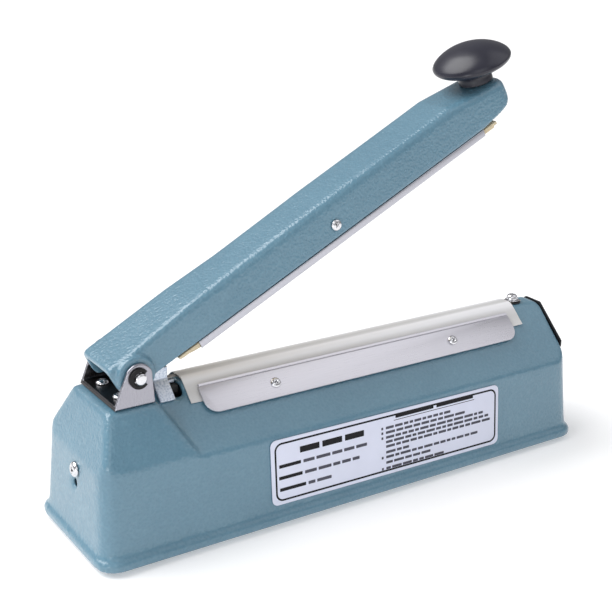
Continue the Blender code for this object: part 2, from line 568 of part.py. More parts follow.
TRX0, TRX1 = -52.0, 14.0
core = box("transformer_core", TRX0, TRX1, -20, 20, 4.5, 56.0, "iron")
for x0, x1 in ((TRX0 + 11, TRX0 + 22), (TRX1 - 22, TRX1 - 11)):
    cut(core, box("window", x0, x1, -30, 30, 15.5, 45.0))
coil = box("transformer_coil", TRX0 + 11.4, TRX1 - 11.4, -27, 27, 15.9, 44.6, "copper", 0)
cut(coil, box("leg", TRX0 + 21.6, TRX1 - 21.6, -20.4, 20.4, 10, 50))
strap = box("transformer_strap", TRX0 - 14, TRX1 + 14, -9, 9, 2.4, 57.6, "zinc")
cut(strap, box("in", TRX0 - 0.4, TRX1 + 0.4, -10, 10, 2, 56.3), box("l", TRX0 - 20, TRX0 - 1.6, -10, 10, 3.9, 60), box("r", TRX1 + 1.6, TRX1 + 20, -10, 10, 3.9, 60))

BX0, BX1 = 34.0, 92.0
box("timer_board", BX0, BX1, -24.0, 24.0, 2.7, 4.3, "board")
box("timer_relay", BX0 + 6, BX0 + 24, -9, 6, 4.6, 21.0, "bluecap")
turned("timer_capacitor", (BX0 + 42, -8, 0), (0, 0, 1), [(6.0, 4.6), (6.0, 25.0), (0, 25.0)], 18, "black")

# ---- the pressing arm, modelled level with its pin at the origin, then swung open ---------------
arm_pieces = []


def arm_make(ob):
    """Everything so far sits at height FOOT; an arm piece is carried by the pin instead."""
    arm_pieces.append(ob)
    return ob


TOP = [(-12, 10.6), (5, 10.9), (16, 11.5), (43, 13.0), (75, 13.3), (100, 13.9), (135, 14.8), (180, 15.2), (205, 15.5), (226, 15.8), (268, 10.5), (270, 10.25)]


def top_h(s):
    for (a, ha), (b, hb) in zip(TOP, TOP[1:]):
        if s <= b:
            return ha + (hb - ha) * (s - a) / (b - a)
    return TOP[-1][1]


def top_w(s):
    """Half width of the top: the heel is a full-width box, and the sides lean in further along."""
    return 14.2 + 1.0 * min(max(s / 226.0, 0), 1) + 2.4 * min(max((75.0 - s) / 70.0, 0), 1)


LOW_H, LOW_W = -6.65, 17.0


def arm_ring(s, low=LOW_H, drop=0.0, narrow=0.0):
    """A section across the arm: sloping sides and rounded top edges."""
    ht, wt = top_h(s) - drop, top_w(s) - narrow
    wl = LOW_W - narrow
    r = 2.2 + 2.0 * min(max((s - 10.0) / 60.0, 0), 1)
    side = lambda h: wl + (wt - wl) * (h - LOW_H) / (ht + drop - LOW_H)
    pts = [(-side(low), low)]
    for a in (0, 30, 60, 90):
        t = math.radians(a)
        pts.append((-(side(ht - r) - r + r * math.cos(t)), ht - r + r * math.sin(t)))
    pts += [(-y, h) for y, h in reversed(pts)]
    return [(s, y, h) for y, h in pts]


rings = [arm_ring(-11.2, -0.5, 2.2, 0.7), arm_ring(-10.7, -3.4, 1.0, 0.25), arm_ring(-9.7, -5.6, 0.25), arm_ring(-7.4)]
rings += [arm_ring(s) for s in (5, 16, 43, 75, 100, 135, 180, 205, 221, 226, 231, 243)]
rings += [arm_ring(250, -5.6), arm_ring(258, -4.8), arm_ring(262.4, -3.6, 0, 0.5), arm_ring(265.4, -1.8, 0.2, 1.9), arm_ring(267.0, 0.2, 0.6, 3.6), arm_ring(ARM_END, 1.8, 1.2, 5.0)]
arm = loft("arm_casting", rings, "blue", 30)


def hollow_ring(s):
    wt, ht = top_w(s) - 3.0, 7.0 if s < 30 else top_h(s) - 3.6
    return [(s, -14.2, -12), (s, -14.2, LOW_H), (s, -wt + 1.0, ht), (s, wt - 1.0, ht), (s, 14.2, LOW_H), (s, 14.2, -12)]


cut(arm, loft("hollow", [hollow_ring(s) for s in (-20, 5, 20, 45, 100, 150, 200, 226, 258, 263.2)]))
join(arm, rod("boss", (0, -14.6, 0), (0, -19.1, 0), 10.4, 28))
join(arm, rod("boss", (0, 14.6, 0), (0, 19.1, 0), 6.6, 24))
cut(arm, rod("bore", (0, -30, 0), (0, 30, 0), PIN_R + 0.25, 24))
SIDE_S, SIDE_H = 134.2, 0.3
side_y = 16.25
for side in (-1, 1):
    cut(arm, rod("bore", (SIDE_S, side * 10, SIDE_H), (SIDE_S, side * 25, SIDE_H), 2.2, 12))
KTILT = math.radians(7.2)
KAX = (math.sin(KTILT), 0, math.cos(KTILT))
KS, KH = 258.0, 11.78
cut(arm, rod("bore", (KS - KAX[0] * 8, 0, KH - 8), (KS + KAX[0] * 8, 0, KH + 8), 2.6, 14))
arm_make(arm)
for side, tag in ((-1, "front"), (1, "rear")):
    lean = math.atan((LOW_W - 14.8) / 22.0)
    out = (0, side * math.cos(lean), math.sin(lean))
    arm_make(screw("arm_screw_" + tag, (SIDE_S, side * (side_y + 0.42), SIDE_H), out, 3.1, 1.3, 1.5, 7.6, 18))

# pressing bar: C-section channel with a central lug, and the rubber pad it grips
BAR_S0, BAR_S1 = 37.1, 241.5
CH_TOP, CH_LOW = LOW_H - 0.35, PAD_H + 0.55
outer = [(-16.5, CH_TOP), (16.5, CH_TOP), (16.5, CH_LOW), (14.4, CH_LOW), (14.4, CH_LOW + 0.9), (15.4, CH_LOW + 0.9), (15.4, CH_TOP - 1.0), (-15.4, CH_TOP - 1.0), (-15.4, CH_LOW + 0.9), (-14.4, CH_LOW + 0.9), (-14.4, CH_LOW), (-16.5, CH_LOW)]
chan = prism("press_bar", outer, "x", BAR_S0, BAR_S1, "alu")
join(chan, box("lug", SIDE_S - 7, SIDE_S + 7, -11, 11, CH_TOP - 0.5, 4.6))
for side in (-1, 1):
    cut(chan, rod("bore", (SIDE_S, side * 6.5, SIDE_H), (SIDE_S, side * 15, SIDE_H), 2.3, 12))
arm_make(chan)
pt, pm = CH_TOP - 1.3, CH_LOW + 1.2
section = [(-14.1, PAD_H), (14.1, PAD_H), (14.1, pm), (15.1, pm), (15.1, pt), (-15.1, pt), (-15.1, pm), (-14.1, pm)]
pad = prism("silicone_pad", section, "x", 24.4, 252.2, "silicone")
cut(pad, prism("taper", [(20, PAD_H - 3), (37.0, PAD_H - 3), (37.0, PAD_H - 0.02), (25.0, pt - 1.2), (20, pt - 1.2)], "y", -20, 20))
cut(pad, box("taper2", 250.6, 256, -20, 20, pm, 0))
arm_make(pad)

# mushroom knob and its bolt
kprof = [(10.2, 0.35), (9.4, 3.0), (9.6, 5.6), (12.5, 7.6), (18.5, 9.0), (21.3, 10.6), (22.3, 12.6), (21.9, 14.6), (19.9, 17.2), (16.4, 19.3), (11.5, 21.0), (6.0, 22.0), (0, 22.3)]
knob = turned("handle_knob", (KS, 0, KH), KAX, kprof, 32, "black", 50)
cut(knob, rod("bore", (KS - KAX[0] * 2, 0, KH - KAX[2] * 2), (KS + KAX[0] * 14, 0, KH + KAX[2] * 14), 2.6, 14))
arm_make(knob)
bolt = turned("knob_bolt", (KS, 0, KH), KAX, [(4.4, -7.4), (4.4, -4.1), (2.2, -4.1), (2.2, 13.0), (0, 13.0)], 6, "zinc", None)
arm_make(bolt)

pivot = bpy.data.objects.new("arm_pivot", None)
root_col.objects.link(pivot)
pivot.location = (PIVOT_X * MM, 0, (PIVOT_Z + FOOT) * MM)
pivot.rotation_euler = (0, -math.radians(OPEN_DEG), 0)
for ob in arm_pieces:
    ob.parent = pivot
    ob.location = (0, 0, 0)

# moving pieces inside the base keep their origins on their own axes
for name, at in (("timer_dial", on_end(DIAL_Y, DIAL_Z)), ("timer_shaft", on_end(DIAL_Y, DIAL_Z)), ("switch_lever", (LEV_X, 0, LEV_Z)), ("switch_rod", (PLUNGER_X, 0, BLOCK_Z))):
    ob = bpy.data.objects[name]
    ob.data.transform(Matrix.Translation((-at[0] * MM, -at[1] * MM, -at[2] * MM)))
    ob.location = (at[0] * MM, at[1] * MM, (at[2] + FOOT) * MM)
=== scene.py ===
import math
import random

import bmesh
import bpy
import numpy as np
from mathutils import Matrix, Vector


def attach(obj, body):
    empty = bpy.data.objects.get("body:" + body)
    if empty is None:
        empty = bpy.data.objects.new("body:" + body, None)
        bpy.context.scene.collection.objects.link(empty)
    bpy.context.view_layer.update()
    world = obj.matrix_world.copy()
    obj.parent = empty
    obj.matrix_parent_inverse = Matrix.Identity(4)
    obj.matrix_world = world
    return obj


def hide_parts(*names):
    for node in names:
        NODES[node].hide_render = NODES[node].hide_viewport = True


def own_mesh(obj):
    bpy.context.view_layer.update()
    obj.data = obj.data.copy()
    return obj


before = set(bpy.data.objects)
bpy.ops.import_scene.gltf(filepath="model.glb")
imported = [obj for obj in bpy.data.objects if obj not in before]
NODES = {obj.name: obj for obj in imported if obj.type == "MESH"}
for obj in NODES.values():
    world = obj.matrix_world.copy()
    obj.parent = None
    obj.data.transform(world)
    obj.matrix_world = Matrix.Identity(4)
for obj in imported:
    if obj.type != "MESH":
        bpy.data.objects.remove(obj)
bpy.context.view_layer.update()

MM = 0.001
FOOT = 2.5

# ---- the same driving sizes as the CAD, in mm, heights from the underside of the rim ----
WALL_Y0, DRAFT_Y = 40.7, 0.084
GABLE_C, GABLE_M = 84.15, 0.95
SLOPE = math.atan(GABLE_M)
END_X = 155.2
PIVOT_X, PIVOT_Z, OPEN = -127.2, 92.5, math.radians(26.6)
CLOTH_TOP = 80.4
LOW_H = -6.65
PAD_H = -(PIVOT_Z - CLOTH_TOP - 0.3)
SIDE_S, SIDE_H = 134.2, 0.3
KTILT = math.radians(7.2)
KS, KH = 258.0, 11.78

ARM = (Matrix.Translation((PIVOT_X * MM, 0, (PIVOT_Z + FOOT) * MM)) @ Matrix.Rotation(-OPEN, 4, "Y"))
BASE = Matrix.Translation((0, 0, FOOT * MM))


# =================================== materials ===================================
class Mat:
    """A small wrapper that builds one node material."""

    def __init__(self, name):
        self.m = bpy.data.materials.new(name)
        self.m.use_nodes = True
        self.t = self.m.node_tree
        self.p = self.t.nodes["Principled BSDF"]
        self.co = self.t.nodes.new("ShaderNodeTexCoord").outputs["Object"]

    def set(self, **kw):
        names = {"color": "Base Color", "rough": "Roughness", "metal": "Metallic", "spec": "Specular IOR Level", "coat": "Coat Weight",
                 "coat_rough": "Coat Roughness", "sheen": "Sheen Weight", "aniso": "Anisotropic", "ior": "IOR", "sub": "Subsurface Weight",
                 "sub_scale": "Subsurface Scale", "trans": "Transmission Weight"}
        for k, v in kw.items():
            self.p.inputs[names[k]].default_value = (*v, 1.0) if isinstance(v, tuple) else v
        return self

    def node(self, kind, **kw):
        n = self.t.nodes.new(kind)
        for k, v in kw.items():
            if hasattr(n, k):
                setattr(n, k, v)
            else:
                n.inputs[k.replace("_", " ")].default_value = v
        return n

    def link(self, a, b):
        self.t.links.new(a, b)

    def coords(self, scale=(1, 1, 1), rot=(0, 0, 0)):
        mp = self.node("ShaderNodeMapping")
        mp.inputs["Scale"].default_value = scale
        mp.inputs["Rotation"].default_value = rot
        self.link(self.co, mp.inputs["Vector"])
        return mp.outputs["Vector"]

    def noise(self, scale, detail=3.0, rough=0.5, vec=None, dist=0.0):
        n = self.node("ShaderNodeTexNoise", Scale=scale, Detail=detail, Roughness=rough, Distortion=dist)
        self.link(vec if vec is not None else self.co, n.inputs["Vector"])
        return n.outputs["Fac"]

    def voronoi(self, scale, feature="SMOOTH_F1", vec=None, rnd=1.0):
        n = self.node("ShaderNodeTexVoronoi")
        n.feature = feature
        n.inputs["Scale"].default_value = scale
        n.inputs["Randomness"].default_value = rnd
        self.link(vec if vec is not None else self.co, n.inputs["Vector"])
        return n.outputs["Distance"]

    def wave(self, scale, vec=None, axis="X", dist=0.0):
        n = self.node("ShaderNodeTexWave")
        n.bands_direction = axis
        n.inputs["Scale"].default_value = scale
        n.inputs["Distortion"].default_value = dist
        self.link(vec if vec is not None else self.co, n.inputs["Vector"])
        return n.outputs["Fac"]

    def ramp(self, fac, stops):
        n = self.node("ShaderNodeValToRGB")
        e = n.color_ramp.elements
        while len(e) < len(stops):
            e.new(0.5)
        for el, (pos, col) in zip(e, stops):
            el.position = pos
            el.color = (*col, 1.0) if isinstance(col, tuple) else (col, col, col, 1.0)
        self.link(fac, n.inputs["Fac"])
        return n.outputs["Color"]

    def remap(self, fac, a, b, lo=0.0, hi=1.0):
        n = self.node("ShaderNodeMapRange")
        n.inputs["From Min"].default_value = lo
        n.inputs["From Max"].default_value = hi
        n.inputs["To Min"].default_value = a
        n.inputs["To Max"].default_value = b
        self.link(fac, n.inputs["Value"])
        return n.outputs["Result"]

    def math(self, op, a, b):
        n = self.node("ShaderNodeMath")
        n.operation = op
        for k, v in enumerate((a, b)):
            if isinstance(v, (int, float)):
                n.inputs[k].default_value = v
            else:
                self.link(v, n.inputs[k])
        return n.outputs[0]

    def bump(self, height, strength, distance, prev=None):
        n = self.node("ShaderNodeBump")
        n.inputs["Strength"].default_value = strength
        n.inputs["Distance"].default_value = distance
        self.link(height, n.inputs["Height"])
        if prev is not None:
            self.link(prev, n.inputs["Normal"])
        return n.outputs["Normal"]

    def done(self, color=None, rough=None, normal=None):
        if color is not None:
            self.link(color, self.p.inputs["Base Color"])
        if rough is not None:
            self.link(rough, self.p.inputs["Roughness"])
        if normal is not None:
            self.link(normal, self.p.inputs["Normal"])
            if self.p.inputs["Coat Weight"].default_value > 0:
                self.link(normal, self.p.inputs["Coat Normal"])
        return self.m


def hammertone():
    m = Mat("hammertone_paint").set(metal=0.0, coat=0.75, coat_rough=0.17, spec=0.5)
    warp = m.noise(420, 2.0, 0.5)
    cells = m.voronoi(760, "SMOOTH_F1")
    fine = m.noise(1500, 2.0, 0.6)
    big = m.noise(22, 3.0, 0.55)
    h = m.math("ADD", m.math("MULTIPLY", cells, 0.8), m.math("MULTIPLY", warp, 0.7))
    n1 = m.bump(h, 0.6, 0.00045)
    n2 = m.bump(fine, 0.2, 0.00012, n1)
    mixf = m.math("ADD", m.math("MULTIPLY", big, 0.55), m.math("MULTIPLY", cells, 0.45))
    col = m.ramp(mixf, [(0.25, (0.092, 0.204, 0.281)), (0.55, (0.110, 0.234, 0.315)), (0.85, (0.134, 0.268, 0.352))])
    rough = m.remap(m.noise(260, 2.0), 0.30, 0.46, 0.3, 0.7)
    return m.done(col, rough, n2)


def sheet_steel(name, tint=(0.70, 0.69, 0.735), r0=0.24, r1=0.38, along=(4, 260, 260), bump=0.1, metal=1.0):
    """Rolled sheet: faint streaks along its length and a slightly uneven lustre."""
    m = Mat(name).set(metal=metal, aniso=0.25)
    v = m.coords(along)
    streak = m.noise(14, 3.0, 0.6, v)
    cloud = m.noise(26, 3.0, 0.5)
    f = m.math("ADD", m.math("MULTIPLY", streak, 0.6), m.math("MULTIPLY", cloud, 0.4))
    d = tuple(c * 0.9 for c in tint)
    l = tuple(min(c * 1.07, 1) for c in tint)
    col = m.ramp(f, [(0.3, d), (0.5, tint), (0.72, l)])
    nrm = m.bump(streak, bump, 0.00006)
    return m.done(col, m.remap(f, r0, r1, 0.3, 0.7), nrm)


def zinc():
    m = Mat("zinc_spangle").set(metal=0.9)
    cells = m.voronoi(820, "F1")
    n = m.noise(900, 3.0, 0.65)
    f = m.math("ADD", m.math("MULTIPLY", cells, 0.5), m.math("MULTIPLY", n, 0.5))
    col = m.ramp(f, [(0.28, (0.40, 0.47, 0.59)), (0.48, (0.62, 0.68, 0.77)), (0.72, (0.84, 0.88, 0.95))])
    nrm = m.bump(n, 0.15, 0.00008)
    return m.done(col, m.remap(f, 0.34, 0.56, 0.3, 0.7), nrm)


def chrome():
    m = Mat("bright_plating").set(metal=1.0)
    n = m.noise(900, 2.0)
    col = m.ramp(n, [(0.3, (0.66, 0.66, 0.68)), (0.7, (0.80, 0.80, 0.82))])
    return m.done(col, m.remap(n, 0.12, 0.24, 0.3, 0.7), m.bump(n, 0.05, 0.00004))


def plastic(name, color, r0=0.24, r1=0.36, grain=1400, bump=0.08, coat=0.0, spec=0.5, vary=0.14):
    m = Mat(name).set(metal=0.0, coat=coat, spec=spec, coat_rough=0.12)
    n = m.noise(grain, 3.0, 0.6)
    big = m.noise(60, 3.0, 0.5)
    d = tuple(c * (1 - vary) for c in color)
    l = tuple(min(1.0, c * (1 + vary) + 0.002) for c in color)
    col = m.ramp(big, [(0.3, d), (0.7, l)])
    return m.done(col, m.remap(big, r0, r1, 0.3, 0.7), m.bump(n, bump, 0.00006))


def cloth():
    """Glass cloth under a smooth non-stick film: fine plain weave, a soft sheen, and a painted highlight band beside
    the ridge with painted shade on the crown and in the valley beyond.
    """
    m = Mat("nonstick_cloth").set(metal=0.0, coat=0.6, coat_rough=0.24, sheen=0.1, spec=0.5)
    a = m.wave(420, axis="X")
    b = m.wave(420, m.coords((1, 0.75, 0.75)), axis="DIAGONAL")
    weave = m.math("MULTIPLY", a, b)
    soft = m.noise(18, 3.0, 0.5, m.coords((0.35, 1.6, 1.6)))
    sep = m.node("ShaderNodeSeparateXYZ")
    m.link(m.co, sep.inputs[0])
    # across the cloth: a painted highlight band about 4 to 7 mm either side of the ridge, painted shade on the crown
    # and in the valley below it
    across = m.math("ABSOLUTE", sep.outputs[1], 0.0)
    painted_light_band = m.remap(across, 0.0, 1.0, 0.0, 0.022)
    f = m.math("ADD", painted_light_band, m.math("MULTIPLY", m.math("SUBTRACT", soft, 0.5), 0.16))
    col = m.ramp(f, [(0.0, (0.56, 0.555, 0.55)), (0.10, (0.66, 0.655, 0.66)), (0.18, (0.88, 0.88, 0.90)), (0.32, (0.84, 0.84, 0.86)), (0.42, (0.66, 0.655, 0.655)), (0.55, (0.60, 0.595, 0.59)), (0.8, (0.68, 0.675, 0.67))])
    n1 = m.bump(soft, 0.5, 0.0006)
    return m.done(col, m.remap(soft, 0.34, 0.5, 0.3, 0.7), m.bump(weave, 0.12, 0.00006, n1))


def silicone():
    m = Mat("silicone_rubber").set(metal=0.0, spec=0.4, sheen=0.1)
    n = m.noise(500, 3.0, 0.6)
    big = m.noise(40, 2.0)
    col = m.ramp(big, [(0.3, (0.60, 0.50, 0.33)), (0.7, (0.74, 0.64, 0.46))])
    return m.done(col, m.remap(n, 0.5, 0.66, 0.3, 0.7), m.bump(n, 0.12, 0.0001))


def copper_tape():
    m = Mat("winding").set(metal=0.0, coat=0.3, coat_rough=0.2)
    w = m.wave(140, axis="Z")
    n = m.noise(200, 2.0)
    col = m.ramp(n, [(0.3, (0.50, 0.20, 0.05)), (0.7, (0.66, 0.32, 0.10))])
    return m.done(col, m.remap(n, 0.3, 0.45, 0.3, 0.7), m.bump(w, 0.4, 0.0003))


def laminations():
    m = Mat("laminated_core").set(metal=0.6)
    w = m.wave(300, axis="Y")
    n = m.noise(120, 3.0)
    col = m.ramp(n, [(0.3, (0.07, 0.07, 0.075)), (0.7, (0.14, 0.14, 0.15))])
    return m.done(col, m.remap(n, 0.4, 0.6, 0.3, 0.7), m.bump(w, 0.35, 0.0002))


PAINT = hammertone()
STEEL = sheet_steel("rolled_steel_sheet")
BRACKET = sheet_steel("bracket_steel", (0.36, 0.355, 0.395), 0.22, 0.36, (200, 200, 6), 0.12)
# a darker copy of the bracket steel: painted shade for the bracket's inside and its left edge faces
BRACKET_PAINTED_SHADE = sheet_steel("bracket_steel_painted_shade", (0.085, 0.08, 0.082), 0.22, 0.38, (200, 200, 6), 0.12)
PIN = sheet_steel("turned_pin_steel", (0.72, 0.72, 0.74), 0.16, 0.28, (200, 200, 200), 0.05)
ALU = sheet_steel("extruded_aluminium", (0.50, 0.50, 0.545), 0.3, 0.42, (3, 300, 300), 0.1)
ZINC = zinc()
CHROME = chrome()
SPRING = sheet_steel("spring_wire", (0.50, 0.50, 0.52), 0.22, 0.34, (60, 60, 60), 0.05)
HEATER = sheet_steel("resistance_ribbon", (0.42, 0.39, 0.36), 0.25, 0.42, (6, 300, 300), 0.05)
KNOB = plastic("knob_phenolic", (0.016, 0.016, 0.027), 0.27, 0.35, 900, 0.05, spec=0.5)
DARK = plastic("black_moulding", (0.018, 0.018, 0.022), 0.30, 0.42, 1600, 0.1)
PANEL = plastic("black_enamel", (0.008, 0.008, 0.010), 0.34, 0.46, 1100, 0.12, spec=0.3)
CLIP = plastic("black_oxide", (0.008, 0.008, 0.009), 0.36, 0.5, 1400, 0.1, spec=0.25)
RUBBER = plastic("foot_rubber", (0.022, 0.022, 0.023), 0.6, 0.78, 900, 0.2)
FIBRE = plastic("black_laminate", (0.016, 0.016, 0.018), 0.45, 0.6, 1500, 0.15)
SILICONE = silicone()
CLOTH = cloth()
TAPE = plastic("glass_tape", (0.78, 0.76, 0.72), 0.5, 0.65, 1800, 0.25)
LABEL = plastic("label_film", (0.72, 0.745, 0.88), 0.36, 0.44, 500, 0.04, vary=0.025)
INK = plastic("label_ink", (0.008, 0.008, 0.010), 0.5, 0.6, 900, 0.03, spec=0.2)
INK_SOFT = plastic("label_ink_fine", (0.075, 0.075, 0.10), 0.5, 0.6, 900, 0.03, spec=0.25)
WHITE_INK = plastic("panel_ink", (0.75, 0.75, 0.74), 0.4, 0.5, 900, 0.03)
LENS = plastic("lamp_lens_red", (0.50, 0.012, 0.008), 0.1, 0.18, 400, 0.02, coat=0.6)
CORE = laminations()
COIL = copper_tape()
BOARD = plastic("solder_mask", (0.03, 0.16, 0.06), 0.3, 0.42, 500, 0.15, coat=0.3)
RELAY = plastic("relay_case", (0.03, 0.08, 0.32), 0.26, 0.36, 900, 0.05)
CAN = plastic("capacitor_sleeve", (0.02, 0.02, 0.03), 0.2, 0.3, 600, 0.04, coat=0.3)


# =================================== mesh tools ===================================
def new_object(name, me, body, mat, smooth=30, replaces=()):
    ob = bpy.data.objects.new(name, me)
    bpy.context.scene.collection.objects.link(ob)
    me.materials.clear()
    me.materials.append(mat)
    if smooth:
        me.shade_smooth()
        me.set_sharp_from_angle(angle=math.radians(smooth))
    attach(ob, body)
    if replaces:
        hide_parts(*replaces)
    return ob


def apply_mods(ob):
    bpy.context.view_layer.update()
    graph = bpy.context.evaluated_depsgraph_get()
    me = bpy.data.meshes.new_from_object(ob.evaluated_get(graph))
    ob.modifiers.clear()
    old = ob.data
    ob.data = me
    bpy.data.meshes.remove(old)
    return me


def raw(name, verts, faces, matrix=BASE):
    """A mesh from points in mm in the base's or the arm's own coordinates."""
    me = bpy.data.meshes.new(name)
    me.from_pydata([tuple(matrix @ (Vector(v) * MM)) for v in verts], [], faces)
    bm = bmesh.new()
    bm.from_mesh(me)
    bmesh.ops.recalc_face_normals(bm, faces=bm.faces)
    bm.to_mesh(me)
    bm.free()
    return me


def temp(me):
    ob = bpy.data.objects.new("tmp", me)
    bpy.context.scene.collection.objects.link(ob)
    return ob


def finish_mesh(me, *mods):
    """Run modifiers on a bare mesh and give the result back."""
    ob = temp(me)
    for kind, kw in mods:
        mod = ob.modifiers.new(kind, kind)
        for k, v in kw.items():
            setattr(mod, k, v)
    out = apply_mods(ob)
    bpy.data.objects.remove(ob, do_unlink=True)
    return out


def bevel(width, seg=3, angle=30):
    return ("BEVEL", dict(width=width * MM, segments=seg, limit_method="ANGLE", angle_limit=math.radians(angle), harden_normals=False))


def smooth_mesh(me, rounds, weight=None, factor=0.5):
    """Even out a dense mesh, more where weight is high: this is what rounds the casting's edges."""
    n = len(me.vertices)
    co = np.empty(n * 3)
    me.vertices.foreach_get("co", co)
    co = co.reshape(-1, 3)
    ed = np.empty(len(me.edges) * 2, np.int64)
    me.edges.foreach_get("vertices", ed)
    ed = ed.reshape(-1, 2)
    deg = np.bincount(ed.ravel(), minlength=n).astype(float)
    w = np.ones(n) if weight is None else weight(co)
    w = (w * factor)[:, None]
    for _ in range(rounds):
        acc = np.empty_like(co)
        for k in range(3):
            acc[:, k] = np.bincount(ed[:, 0], weights=co[ed[:, 1], k], minlength=n) + np.bincount(ed[:, 1], weights=co[ed[:, 0], k], minlength=n)
        avg = acc / np.maximum(deg, 1)[:, None]
        co = co + (avg - co) * w
    me.vertices.foreach_set("co", co.ravel())
    me.update()
    return me


def weld(me):
    bm = bmesh.new()
    bm.from_mesh(me)
    bmesh.ops.remove_doubles(bm, verts=bm.verts, dist=1e-6)
    bm.to_mesh(me)
    bm.free()


def soften(node, voxel, rounds, body, mat, weight=None, smooth=40):
    """The CAD node's shape as a dense even skin whose edges are rounded as a cast or pressed piece's are."""
    me = NODES[node].data.copy()
    me.transform(NODES[node].matrix_world)
    weld(me)
    me = finish_mesh(me, ("REMESH", dict(mode="VOXEL", voxel_size=voxel * MM, adaptivity=0.0)))
    smooth_mesh(me, rounds, weight)
    return new_object(node + "_finish", me, body, mat, smooth, (node,))


def frame_of(direction):
    d = Vector(direction).normalized()
    u = Vector((0, 1, 0)) if abs(d.y) < 0.9 else Vector((1, 0, 0))
    u = (u - d * u.dot(d)).normalized()
    return d, u, d.cross(u)


def curve_through(pts, n=6):
    """A smooth line through 2-D points."""
    out = []
    p = [pts[0]] + list(pts) + [pts[-1]]
    for i in range(1, len(p) - 2):
        for k in range(n):
            t = k / n
            a, b, c, d = p[i - 1], p[i], p[i + 1], p[i + 2]
            out.append(tuple(0.5 * (2 * b[j] + (c[j] - a[j]) * t + (2 * a[j] - 5 * b[j] + 4 * c[j] - d[j]) * t * t + (3 * b[j] - a[j] - 3 * c[j] + d[j]) * t ** 3) for j in (0, 1)))
    out.append(pts[-1])
    return out


def lathe(name, base, direction, profile, n=64, matrix=BASE):
    d, u, w = frame_of(direction)
    base = Vector(base)
    verts, rings = [], []
    for r, t in profile:
        if r < 1e-6:
            rings.append([len(verts)])
            verts.append(base + d * t)
        else:
            rings.append(list(range(len(verts), len(verts) + n)))
            verts += [base + d * t + (u * math.cos(2 * math.pi * i / n) + w * math.sin(2 * math.pi * i / n)) * r for i in range(n)]
    faces = []
    if len(rings[0]) > 1:
        faces.append(tuple(reversed(rings[0])))
    if len(rings[-1]) > 1:
        faces.append(tuple(rings[-1]))
    for a, b in zip(rings, rings[1:]):
        for i in range(n):
            j = (i + 1) % n
            if len(a) == 1:
                faces.append((a[0], b[i], b[j]))
            elif len(b) == 1:
                faces.append((a[i], b[0], a[j]))
            else:
                faces.append((a[i], b[i], b[j], a[j]))
    return raw(name, verts, faces, matrix)


def boolean(me, others, operation="DIFFERENCE"):
    ob = temp(me)
    tools = [temp(o) for o in others]
    for t in tools:
        mod = ob.modifiers.new("b", "BOOLEAN")
        mod.operation = operation
        mod.object = t
    out = apply_mods(ob)
    for t in tools:
        bpy.data.objects.remove(t, do_unlink=True)
    bpy.data.objects.remove(ob, do_unlink=True)
    return out


def pan_screw(node, seat, outward, r, h, body, matrix=BASE, shank=2.6, turn=0.3, mat=None, washer=0.0, shank_r=1.4):
    """Pan head with a rolled edge, low dome and a tapered cross recess with round corners."""
    prof = [(0, -shank), (shank_r * 0.7, -shank), (shank_r, -shank + 0.4), (shank_r, 0.02)]
    prof += [(r * 0.97, 0.02), (r, 0.10)]
    for k in range(1, 13):
        a = math.pi / 2 * k / 12
        prof.append((r * math.cos(a) ** 0.62 if k < 12 else 0.0, 0.10 + (h - 0.10) * math.sin(a) ** 1.05))
    me = lathe(node, seat, outward, prof, 56, matrix)
    d, u, w = frame_of(outward)
    seat_v = Vector(seat)
    u, w = u * math.cos(turn) + w * math.sin(turn), -u * math.sin(turn) + w * math.cos(turn)
    tools = []
    depth = h * 0.72
    for a, b in ((u, w), (w, u)):
        top, bot = (r * 0.60, r * 0.135), (r * 0.22, r * 0.085)
        pts = []
        for t, (l, q) in ((h - depth, bot), (h + 0.6, (top[0] * 1.15, top[1] * 1.1))):
            for s1, s2 in ((-1, -1), (1, -1), (1, 1), (-1, 1)):
                pts.append(seat_v + d * t + a * (s1 * l) + b * (s2 * q))
        tools.append(raw("slot", pts, [(0, 1, 2, 3), (7, 6, 5, 4), (0, 4, 5, 1), (1, 5, 6, 2), (2, 6, 7, 3), (3, 7, 4, 0)], matrix))
    me = boolean(me, tools)
    weld(me)
    me = finish_mesh(me, bevel(0.07, 2, 35))
    return new_object(node + "_finish", me, body, mat or CHROME, 28, (node,))


def fillet(poly, r, seg=5):
    """Round each corner of a closed 2-D outline by r, or by its own value when r is a list."""
    out = []
    n = len(poly)
    for i in range(n):
        rr = r[i] if isinstance(r, (list, tuple)) else r
        p, a, b = Vector(poly[i]), Vector(poly[i - 1]), Vector(poly[(i + 1) % n])
        da, db = (a - p), (b - p)
        la, lb = da.length, db.length
        da.normalize()
        db.normalize()
        cosang = max(-1, min(1, da.dot(db)))
        ang = math.acos(cosang)
        if rr <= 0 or ang > math.pi - 0.02:
            out.append(tuple(p))
            continue
        t = min(rr / math.tan(ang / 2), la * 0.48, lb * 0.48)
        rr2 = t * math.tan(ang / 2)
        bis = (da + db).normalized()
        c = p + bis * (rr2 / math.sin(ang / 2))
        s, e = p + da * t, p + db * t
        a0 = math.atan2(s.y - c.y, s.x - c.x)
        a1 = math.atan2(e.y - c.y, e.x - c.x)
        dlt = (a1 - a0 + math.pi) % (2 * math.pi) - math.pi
        for k in range(seg + 1):
            t2 = a0 + dlt * k / seg
            out.append((c.x + rr2 * math.cos(t2), c.y + rr2 * math.sin(t2)))
    return out


def solid(name, outline, put, a, b, matrix=BASE):
    """An outline pushed between two levels; put(p, level) gives a point in mm."""
    n = len(outline)
    verts = [put(p, a) for p in outline] + [put(p, b) for p in outline]
    faces = [tuple(range(n)), tuple(range(2 * n - 1, n - 1, -1))] + [(i, (i + 1) % n, n + (i + 1) % n, n + i) for i in range(n)]
    return raw(name, verts, faces, matrix)


def join_meshes(name, meshes):
    bm = bmesh.new()
    for me in meshes:
        bm.from_mesh(me)
    out = bpy.data.meshes.new(name)
    bm.to_mesh(out)
    bm.free()
    return out


